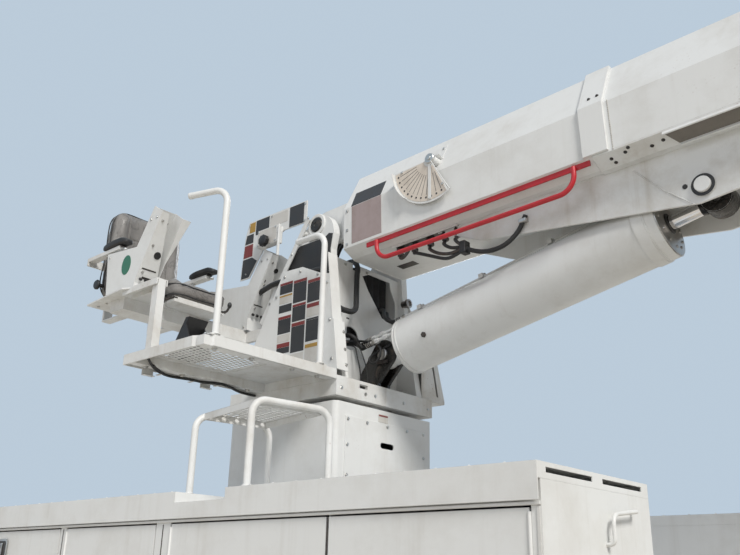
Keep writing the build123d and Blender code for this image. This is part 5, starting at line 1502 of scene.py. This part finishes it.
class BOOMUNIT_OT_boom(Operator):
    """Makes the plates, slot, fittings, bands, welds and bolts of the boom's sections"""

    bl_idname = "boom_unit.boom"
    bl_label = "Boom fittings"

    def execute(self, context):
        made = Shape()
        made.slab(rect(0.222, 0.425, -0.165, 0.0455), 0.0012, "mauve enamel", NEAR_SIDE, 0.0004)
        made.slab([(0.216, 0.0015), (0.421, 0.0015), (0.415, 0.118), (0.204, 0.118)], 0.0012, SLATE, NEAR_SLOPE,
                  0.0004)
        # rear cover plate
        rear = facing(on_boom(0.165, 0, 0), -BOOM_DIR, BOOM_UP)
        # the dark strip between the plates, where the boom hoses go in, is painted shade of the opening behind them
        made.slab(rect(-0.135, 0.135, 0.045, 0.115), 0.004, DARK, rear, 0.001)
        made.slab([(-0.12, 0.15), (0.12, 0.15), (0.11, 0.25), (-0.11, 0.25)], 0.004, WORN, rear, 0.001)
        made.slab(rect(-0.16, 0.16, -0.175, -0.06), 0.004, WORN, rear, 0.001)
        # slot in the underside, with the fittings and bent tubes in it; its dark plate lies flush on the underside
        # as painted shade of the opening
        under = facing(on_boom(0, 0, -0.215), -BOOM_UP, BOOM_DIR)
        slot_y = -0.15
        made.slab(rect(slot_y - 0.034, slot_y + 0.034, 0.43, 0.82), 0.0015, DARK, under, 0.0005)
        made.slab(rect(slot_y - 0.036, slot_y - 0.046, 0.424, 0.826), 0.01, WORN, under, 0.001)
        # where each port's tube goes, along and above the pivot, outside the lift cylinder's path
        drops = [[(0.48, -0.29), (0.51, -0.268), (0.53, -0.24), (0.54, -0.213)],
                 [(0.56, -0.284), (0.595, -0.3), (0.664, -0.333), (0.731, -0.365), (0.764, -0.372), (0.8, -0.368),
                  (0.85, -0.354)], [(0.655, -0.298), (0.7, -0.33), (0.76, -0.352), (0.805, -0.353), (0.85, -0.347)],
                 [(0.738, -0.292), (0.765, -0.318), (0.805, -0.336), (0.85, -0.34)],
                 [(0.808, -0.29), (0.825, -0.316), (0.85, -0.333)],]
        for k, u in enumerate((0.446, 0.537, 0.636, 0.726, 0.799)):
            at = on_boom(u, slot_y, -0.2165)
            made.hexagon([(0.021, 0), (0.021, 0.012), (0.014, 0.013), (0.014, 0.03), (0.017, 0.031), (0.017, 0.044),
                          (0.012, 0.046)], DARK, facing(at, -BOOM_UP, BOOM_DIR))
            made.pipe(
                [on_boom(u, slot_y, -0.255), on_boom(u + 0.002, slot_y - 0.012, -0.276)] + [on_boom(along,
                    -0.176 - 0.004 * k, above) for along, above in drops[k]], 0.0085, RUBBER if k % 2 else DARK)
        # the tubes meet in a clamp, and one hose goes on to the keel's outer face
        made.block((0.034, 0.062, 0.046), PLASTIC, facing(on_boom(0.856, -0.182, -0.347), -Y, BOOM_UP), 0.005)
        made.pipe(
            [on_boom(u, y, w) for u, y, w in ((0.862, -0.184, -0.352), (0.914, -0.184, -0.384),
                (0.988, -0.184, -0.405), (1.06, -0.184, -0.404), (1.12, -0.181, -0.376), (1.16, -0.178, -0.335),
                (1.185, -0.176, -0.285))], 0.011)
        made.block((0.04, 0.02, 0.026), ZINC, facing(on_boom(1.172, -0.178, -0.31), -Y, BOOM_UP), 0.004)
        made.block((0.11, 0.052, 0.0016), DARK, facing(on_boom(0.331, 0.047, -0.2158), -BOOM_UP, Y), 0.0005)
        # small bracket above the angle plate
        bracket = NEAR_SLOPE @ move(0.757, 0.155, 0.0015)
        made.block((0.056, 0.11, 0.003), WHITE, bracket)
        made.block((0.056, 0.003, 0.03), WHITE, bracket @ move(0, -0.055, 0.015))
        # marks on the filler plate and keel: hole with its rubber plug, and pin cover
        keel = facing(on_boom(0, -0.165, 0), -Y, BOOM_UP)
        made.turned([(0.01, 0), (0.01, 0.003), (0.008, 0.004), (0, 0.004)], RUBBER, keel @ move(1.884, -0.391, 0),
                    24)
        # each pin cover is a white disc on a wider black rubber disc; the black ring round it is painted shade of
        # the hole the pin end sits in
        for side in SIDES:
            cover = facing(on_boom(ROD_EYE[0], side * 0.175, ROD_EYE[1]), Y * side, BOOM_UP)
            made.turned([(0.0455, -0.001), (0.0455, 0.0005), (0, 0.0005)], RUBBER, cover, 36)
            made.turned([(0.032, 0), (0.032, 0.01), (0.03, 0.012), (0, 0.012)], WHITE, cover, 36)
        # shallow channel along each lower bevel, beyond the filler plate; its dark floor is painted shade, standing
        # in for the boom's open underside in shadow
        for side in SIDES:
            bevel = facing(on_boom(0, side * 0.273, -0.188), Y * side * 0.035 - BOOM_UP * 0.073, BOOM_UP)
            made.slab([(-side * u, v) for u, v in ((1.868, -0.006), (3.9, -0.006), (3.9, -0.075), (1.905, -0.075))],
                      0.0015, "shaded coat", bevel, 0.0004)
            for v, first in ((-0.003, 1.866), (-0.078, 1.908)):
                made.block(
                    (3.904 - first, 0.006, 0.016), WHITE, bevel @ move(-side * (first + 3.904) / 2, v, 0.0075))
        # mouth band round the outer section
        for side in SIDES:
            made.block((0.06, 0.215, 0.004), WHITE, facing(on_boom(4.37, side * 0.274, -0.065), Y * side, BOOM_UP))
        made.piece("boom_fittings", "boom")

        spots = slope_spots([(0.745, 0.125), (0.768, 0.185)])
        spots = [(point + out * 0.003, out) for point, out in spots]
        for side in SIDES:
            spots += side_spots([(0.19, 0.03), (0.19, -0.08), (0.19, -0.16)], 0.273, side)
            spots += side_spots([(4.36, 0.02), (4.36, -0.06), (4.36, -0.14)], 0.276, side)
        for across, heights in ((0.105, (0.165, 0.235)), (0.145, (-0.16, -0.075))):
            spots += [(on_boom(0.161, y, w), -BOOM_DIR) for y in (-across, across) for w in heights]
        fasteners("boom_screws", "boom", spots, "screw")
        lower = []
        for u, share in ((1.638, 0.45), (1.702, 0.35), (1.721, 0.15), (1.646, 0.75), (1.807, 0.55), (1.856, 0.45)):
            y = -0.273 + 0.073 * share
            w = -0.188 - 0.035 * share
            lower.append((on_boom(u, y, w), (-BOOM_UP * 0.9 - Y * 0.43)))
        lower += [(point + out * 0.014, out) for point, out in slope_spots([(1.582, 0.046), (1.62, 0.048)])]
        fasteners("keel_bolts", "boom", lower, "bolt", 0.45, finish=DARK)
        pads = [(on_boom(u, side * 0.1, -0.215), -BOOM_UP) for u in (4.3, 4.36) for side in SIDES]
        fasteners("pad_bolts", "boom", pads, "bolt")
        welds = []
        for side in SIDES:
            welds.append([on_boom(0.7 + 0.05 * k, side * 0.1655, -0.2165) for k in range(18)])
            welds.append([on_boom(2.3 + 0.05 * k, side * 0.1655, -0.2165) for k in range(14)])
            welds.append([on_boom(0.1665, side * 0.2, -0.18 + 0.05 * k) for k in range(1, 4)])
        welds.append([on_boom(1.694, -0.1655, -0.252), on_boom(1.8, -0.1655, -0.376),
                      on_boom(1.906, -0.1655, -0.472)])
        welds.append([on_boom(0.1645, -0.19 + 0.05 * k, -0.2155) for k in range(8)])
        bead_rows("boom_welds", "boom", welds, 0.0075, BOOM_BEAD)
        seam = [[on_boom(1.664, -0.2736, 0.047), on_boom(1.664, -0.2736, -0.18)]]
        bead_rows("collar_sealant", "boom", seam, 0.01, (0.0065, 0.0022, 0.0032), "joint sealant")

        tip = Shape()
        for side in SIDES:
            pin = facing((5.129, side * 0.1, 2.2942), Y * side)
            tip.turned([(0.036, -0.012), (0.036, 0.0), (0.033, 0.003), (0.01, 0.003), (0, 0.001)], STEEL, pin, 24)
        tip.piece("tip_pin_caps", "boom_inner_section", "steel")
        return {"FINISHED"}


class BOOMUNIT_OT_angle_plate(Operator):
    """Makes the fan face, ticks, hub and pointer edge of the boom's angle plate"""

    bl_idname = "boom_unit.angle_plate"
    bl_label = "Angle plate"

    def execute(self, context):
        made = Shape()
        face = facing(on_boom(0, -0.296, 0), -Y, BOOM_UP)
        centre, radius, low, high = (0.76, 0.113), 0.228, 181, 296

        def at(angle, reach):
            a = math.radians(angle)
            return centre[0] + reach * math.cos(a), centre[1] + reach * math.sin(a)

        arc = [at(low + 2 + (high - low - 4) * k / 24, radius - 0.01) for k in range(25)]
        back = [at(high - 4 - (high - low - 8) * k / 8, 0.04) for k in range(9)]
        made.slab(arc + back, 0.0012, "tan enamel", face, 0.0004)
        dotted = face @ move(0, 0, 0.0012)
        for angle in range(low + 8, high - 4, 9):
            spoke = dotted @ move(*at(angle, 0.135), 0) @ spin(math.radians(angle))
            made.block((0.105, 0.0022, 0.001), SLATE, spoke, 0)
            made.turned([(0.0052, 0), (0.0052, 0.001), (0, 0.0012)], SLATE, dotted @ move(*at(angle, 0.2), 0), 12)
        for angle in (low + 3, high - 3):
            made.hexagon([(0.007, 0), (0.007, 0.004), (0.004, 0.006), (0, 0.006)], ZINC,
                         dotted @ move(*at(angle, 0.175), 0))
        # upturned rim at the fan's low end
        for k in range(10):
            angle = low + 3 + 4.6 * k
            turn = face @ move(*at(angle, radius - 0.003), 0.01) @ spin(math.radians(angle))
            made.block((0.003, 0.0186, 0.02), WHITE, turn, 0.0005)
        hub = face @ move(*centre, 0.004)
        made.turned([(0.027, -0.006), (0.027, 0.004), (0.023, 0.008), (0.012, 0.009), (0.011, 0.014), (0, 0.015)],
                    ZINC, hub, 28)
        down = Vector((centre[0], centre[1], 0))
        pointer = facing(face @ down + Vector((0, -0.0045, -0.1075)), -Y, Z)
        made.block((0.019, 0.205, 0.0015), WHITE, pointer @ move(0, 0, 0.0006), 0.0005)
        made.pipe([face @ Vector((*at(299, 0.02), 0.01)), face @ Vector((*at(299, 0.12), 0.012)),
                   face @ Vector((*at(299, 0.235), 0.01))], 0.0028, WHITE, sides=1)
        made.piece("angle_face", "boom")
        return {"FINISHED"}


# Lift cylinder


class BOOMUNIT_OT_cylinder(Operator):
    """Makes the weld rings, gland, wiper and clamp bolts of the lift cylinder"""

    bl_idname = "boom_unit.cylinder"
    bl_label = "Lift cylinder fittings"

    def execute(self, context):
        made = Shape()
        tube = facing(BASE_PIN, LIFT_DIR)

        def ring(at, radius, width):
            made.turned([(radius - 0.004, at - 0.6 * width), (radius, at - 0.4 * width), (radius, at + 0.4 * width),
                         (radius - 0.004, at + 0.6 * width)], WORN, tube, 64, loop=True)

        for at in (0.146, 0.162, 1.43, 1.482):
            ring(at, BARREL_RADIUS + 0.0028, 0.008)
        made.turned([(0.046, 1.524), (0.138, 1.5245), (0.138, 1.53), (0.128, 1.534), (0.046, 1.535)], STEEL, tube,
                    64, loop=True)
        made.turned([(0.0318, 1.526), (0.047, 1.533), (0.044, 1.541), (0.035, 1.543), (0.0318, 1.539)], RUBBER,
                    tube, 48, loop=True)
        for at, radius in ((0.143, 0.11), (0.139, 0.06)):
            made.turned([(0.02, at - 0.003), (radius, at - 0.003), (radius, at - 0.0005), (0.02, at)], WORN, tube,
                        48, loop=True)
        # port bosses that the oil fittings screw into
        for across, above in ((-0.062, 0.097), (-0.084, 0.064)):
            start = on_barrel(0.128, across, above)
            made.turned([(0.021, 0), (0.021, 0.011), (0.017, 0.013)], WORN, facing(start, LIFT_DIR), 18)
        plug = facing(on_barrel(0.33, -0.136, -0.045), (-Y * 0.95 - LIFT_UP * 0.31), LIFT_DIR)
        made.fitting(0.014, -0.004, 0.004, 0.01, 0.01, DARK, plug)
        made.piece("barrel_rings", "lift_cylinder_barrel", "white_paint")
        # black rings round the rod's eye and round the rod near its end
        eye = Shape()
        eye.turned([(0.022, -0.0462), (0.058, -0.0466), (0.0645, -0.043), (0.0662, -0.015), (0.0652, 0.012),
                    (0.0648, 0.043), (0.058, 0.0466), (0.022, 0.0462)], "grease",
                   facing(on_boom(ROD_EYE[0], 0, ROD_EYE[1]), Y, LIFT_DIR), 48, loop=True)
        eye.turned([(0.029, 1.668), (0.0318, 1.673), (0.0345, 1.69), (0.029, 1.694)], "grease", tube, 32, loop=True)
        eye.piece("rod_eye_grease", "lift_cylinder_rod", "steel")
        gland = [(tube @ Vector((x, y, 1.534)), LIFT_DIR) for x, y in round_points(12, 0.108)]
        fasteners("gland_bolts", "lift_cylinder_barrel", gland, "bolt", 0.45, finish=STEEL)
        clamps = [(on_barrel(at, -0.012, 0.172), LIFT_UP) for at in (0.272, 0.652, 1.032)]
        fasteners("clamp_bolts", "lift_cylinder_barrel", clamps, "screw")
        return {"FINISHED"}


# Truck body


class BOOMUNIT_OT_body(Operator):
    """Makes the door latches, seals, trims, rivets and pedestal fittings of the body"""

    bl_idname = "boom_unit.body"
    bl_label = "Body and door fittings"

    def execute(self, context):
        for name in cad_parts:
            if not name.startswith("door_"):
                continue
            low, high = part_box(name)
            side = -1 if low.y < 0 else 1
            _, place_word, kind = name.split("_")
            body = f"{kind}_door_{place_word}"
            face_y = side * 1.2105
            # folding T handle in a shallow dished plate
            tall = high.z - low.z
            handle_x = {"front": low.x + 0.085, "wheel": (low.x + high.x) / 2}.get(kind, high.x - 0.085)
            handle_z = (low.z + high.z) / 2 + 0.12 if tall > 0.6 else high.z - 0.095
            latch = Shape()
            face = facing((handle_x, face_y, handle_z), Y * side)
            dish = [(-0.036, -0.062), (0.036, -0.062), (0.048, -0.05), (0.048, 0.05), (0.036, 0.062),
                    (-0.036, 0.062), (-0.048, 0.05), (-0.048, -0.05)]
            latch.slab(dish, 0.003, ZINC, face, 0.001)
            latch.slab([(0.84 * x, 0.86 * y) for x, y in dish], 0.0036, DARK, face, 0.0004)
            latch.block((0.02, 0.088, 0.0042), ZINC, face @ move(0, 0, 0.0058), 0.0016)
            latch.block((0.034, 0.018, 0.0042), ZINC, face @ move(0, -0.034, 0.0058), 0.0016)
            latch.turned([(0.0085, 0.0036), (0.0085, 0.0078), (0.0068, 0.0086), (0, 0.0086)], STEEL,
                         face @ move(0, 0.028, 0), 20)
            latch.piece(f"latch_{place_word}_{kind}", body, "chrome")
            seal = Shape()
            inset = 0.009
            corners = rect(low.x + inset, high.x - inset, low.z + inset, high.z - inset)
            inner_y = side * 1.1815
            for (x0, z0), (x1, z1) in zip(corners, corners[1:] + corners[:1]):
                centre = ((x0 + x1) / 2, inner_y, (z0 + z1) / 2)
                seal.block((abs(x1 - x0) + 0.008, 0.003, abs(z1 - z0) + 0.008), RUBBER, Matrix.Translation(centre))
            seal.piece(f"seal_{place_word}_{kind}", body, "black_plastic")
        body = Shape()
        for side in SIDES:
            # drip rail and bottom trim
            body.block((3.45, 0.006, 0.01), WHITE, move(0.225, side * 1.2085, 0.596), 0.002)
            body.block((0.01, 0.003, 1.03), WORN, move(1.9415, side * 1.2065, 0.075))
            for x in (-0.4065, 0.3295, 1.196):
                body.block((0.0045, 0.0016, 1.0), DARK, move(x, side * 1.2056, 0.085), 0.0004)
        body.piece("body_trims", "truck_body", "white_paint")

        spots = []
        roof_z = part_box("roof_covers")[1].z
        for side in SIDES:
            for x in [-1.46 + 0.114 * k for k in range(30)]:
                if not 0.38 < x < 0.72:
                    spots += heads(Z, [(x, side * y, roof_z) for y in (1.206, 0.584)])
            spots += heads(Z, [(1.936, side * (0.62 + 0.14 * k), roof_z) for k in range(5)])
        fasteners("tray_rivets", "truck_body", spots, "rivet", height=0.6, washer=1.05, sides=8, crown=0.55,
                  finish=WHITE, slot="white_paint")
        spots = heads(X, [(0.391, y, z) for y in (-0.285, 0.285) for z in (0.58, 0.72, 0.86, 1.0, 1.12)])
        spots += heads(X, [(0.391, y, z) for y in (-0.15, 0.0, 0.15) for z in (0.575, 1.12)])
        fasteners("panel_bolts", "truck_body", spots, "screw")
        steps = (-0.3, -0.1, 0.1, 0.3)
        spots = heads(Z, [(side * 0.425, y, 0.18) for side in SIDES for y in steps])
        spots += heads(Z, [(x, side * 0.405, 0.18) for side in SIDES for x in steps])
        fasteners("pedestal_bolts", "truck_body", spots, "bolt", 1.2, finish=DARK)
        plate = Shape()
        plate.block((0.0012, 0.072, 0.04), PALE, move(0.3868, -0.027, 1.158), 0.0004)
        plate.block((0.0012, 0.066, 0.008), WINE, move(0.3876, -0.027, 1.171), 0.0002)
        plate.piece("pedestal_plate", "truck_body")
        welds = [[Vector((x, -0.36 + 0.05 * k, 0.1815)) for k in range(15)] for x in (0.387, -0.387)]
        for y in (-0.3665, 0.3665):
            welds.insert(-1, [Vector((-0.38 + 0.05 * k, y, 0.1815)) for k in range(16)])
        bead_rows("pedestal_welds", "truck_body", welds, 0.0075, BOOM_BEAD)
        grip = Shape()
        for x, z in [(at, 0.7015) for at in (-1.2, -0.8, -0.4, 0.0, 1.0, 1.4, 1.8)] + [
                (0.5, 0.6615), (0.61, 0.6615)]:
            for y in (-0.885, 0.885):
                grip.block((0.05, 0.44, 0.0012), "grip strip", move(x, y, z), 0.0004)
        grip.piece("grip_strips", "truck_body", "black_plastic")
        return {"FINISHED"}


class BOOMUNIT_OT_stage(Operator):
    """Makes the floor, the soft light, the background and the camera"""

    bl_idname = "boom_unit.stage"
    bl_label = "Stage"

    def execute(self, context):
        settings = context.scene.boom_unit_stage
        scene = context.scene
        disc = bmesh.new()
        bmesh.ops.create_circle(disc, cap_ends=True, segments=96, radius=60)
        store = bpy.data.meshes.new("floor")
        disc.to_mesh(store)
        disc.free()
        store.transform(move(0, 0, cad_low.z - 0.001))
        net, shader = new_finish("studio floor", Roughness=0.85)
        cloud = net.first("ShaderNodeTexNoise", {"Scale": 0.7, "Detail": 4})
        colour = tuple(settings.floor)
        net.put(net.mixed(cloud, colour, tuple(0.94 * c for c in colour)), shader["Base Color"])
        floor = linked("studio_floor", store, ["studio floor"])

        world = bpy.data.worlds.new("studio")
        scene.world = world
        world.use_nodes = True
        net = Wiring(world.node_tree)
        around = world.node_tree.nodes["Background"]
        around.inputs["Color"].default_value = (0.86, 0.92, 1.0, 1)
        around.inputs["Strength"].default_value = settings.sky
        behind = net.add("ShaderNodeBackground", {"Color": tuple(settings.backdrop), "Strength": 1.0})
        path = net.add("ShaderNodeLightPath")
        seen = net.maths(
            "MAXIMUM", path.outputs["Is Camera Ray"], net.maths("MAXIMUM", path.outputs["Is Glossy Ray"],
                path.outputs["Is Transmission Ray"]))
        choice = net.add("ShaderNodeMixShader", {"Fac": seen})
        net.put(around.outputs[0], choice.inputs[1])
        net.put(behind.outputs[0], choice.inputs[2])
        net.put(choice.outputs[0], world.node_tree.nodes["World Output"].inputs["Surface"])

        aim = Vector((0.9, 0, 1.2))
        for name, spot, kind, power, colour in (
                ("key_lamp", (6.5, -2.5, 6.5), "SUN", settings.key, (1.0, 0.97, 0.92)),
                ("fill_lamp", (1.5, -8.0, 4.0), "AREA", 31 * settings.key, (0.9, 0.93, 1.0)),
                ("rear_lamp", (-3.5, 7.5, 5.5), "AREA", 90 * settings.key, (0.95, 0.97, 1.0))):
            lamp = bpy.data.lights.new(name, kind)
            if kind == "SUN":
                lamp.angle = math.radians(18)
            else:
                lamp.shape = "DISK"
                lamp.size = 4.5
            lamp.energy = power
            lamp.color = colour
            holder = bpy.data.objects.new(name, lamp)
            scene.collection.objects.link(holder)
            holder.matrix_world = facing(Vector(spot), Vector(spot) - aim)

        view = bpy.data.cameras.new("photograph_view")
        view.sensor_fit = "HORIZONTAL"
        view.sensor_width = 36
        view.lens = 39.857
        view.clip_end = 200
        camera = bpy.data.objects.new("photograph_view", view)
        scene.collection.objects.link(camera)
        towards = Vector((-0.63167, 0.69259, 0.34829)).normalized()
        upward = Vector((0.21781, -0.27263, 0.93714))
        camera.matrix_world = facing((3.053, -3.072, 0.4), -towards, upward)
        scene.camera = camera
        scene.view_settings.view_transform = "Standard"
        return {"FINISHED"}


OPERATORS = [
    BOOMUNIT_OT_finishes,
    BOOMUNIT_OT_gratings,
    BOOMUNIT_OT_seat,
    BOOMUNIT_OT_placards,
    BOOMUNIT_OT_consoles,
    BOOMUNIT_OT_platform,
    BOOMUNIT_OT_hoses,
    BOOMUNIT_OT_turret,
    BOOMUNIT_OT_boom,
    BOOMUNIT_OT_angle_plate,
    BOOMUNIT_OT_cylinder,
    BOOMUNIT_OT_body,
    BOOMUNIT_OT_stage,
]


class BOOMUNIT_PT_sidebar(Panel):
    """Lists the unit's pieces and their settings"""

    bl_idname = "BOOMUNIT_PT_sidebar"
    bl_label = "Boom unit"
    bl_space_type = "VIEW_3D"
    bl_region_type = "UI"
    bl_category = "Boom unit"

    def draw(self, context):
        for operator in OPERATORS:
            self.layout.operator(operator.bl_idname)
        for name, group in SETTINGS.items():
            box = self.layout.box()
            for field in group.__annotations__:
                box.prop(getattr(context.scene, name), field)


def register():
    for kind in (*SETTINGS.values(), *OPERATORS, BOOMUNIT_PT_sidebar):
        bpy.utils.register_class(kind)
    for name, group in SETTINGS.items():
        setattr(bpy.types.Scene, name, PointerProperty(type=group))


def unregister():
    for name in SETTINGS:
        delattr(bpy.types.Scene, name)
    for kind in (BOOMUNIT_PT_sidebar, *reversed(OPERATORS), *reversed(tuple(SETTINGS.values()))):
        bpy.utils.unregister_class(kind)


def main():
    """Builds every piece in order."""
    register()
    for operator in OPERATORS:
        group, name = operator.bl_idname.split(".")
        getattr(getattr(bpy.ops, group), name)()


if __name__ == "__main__":
    main()
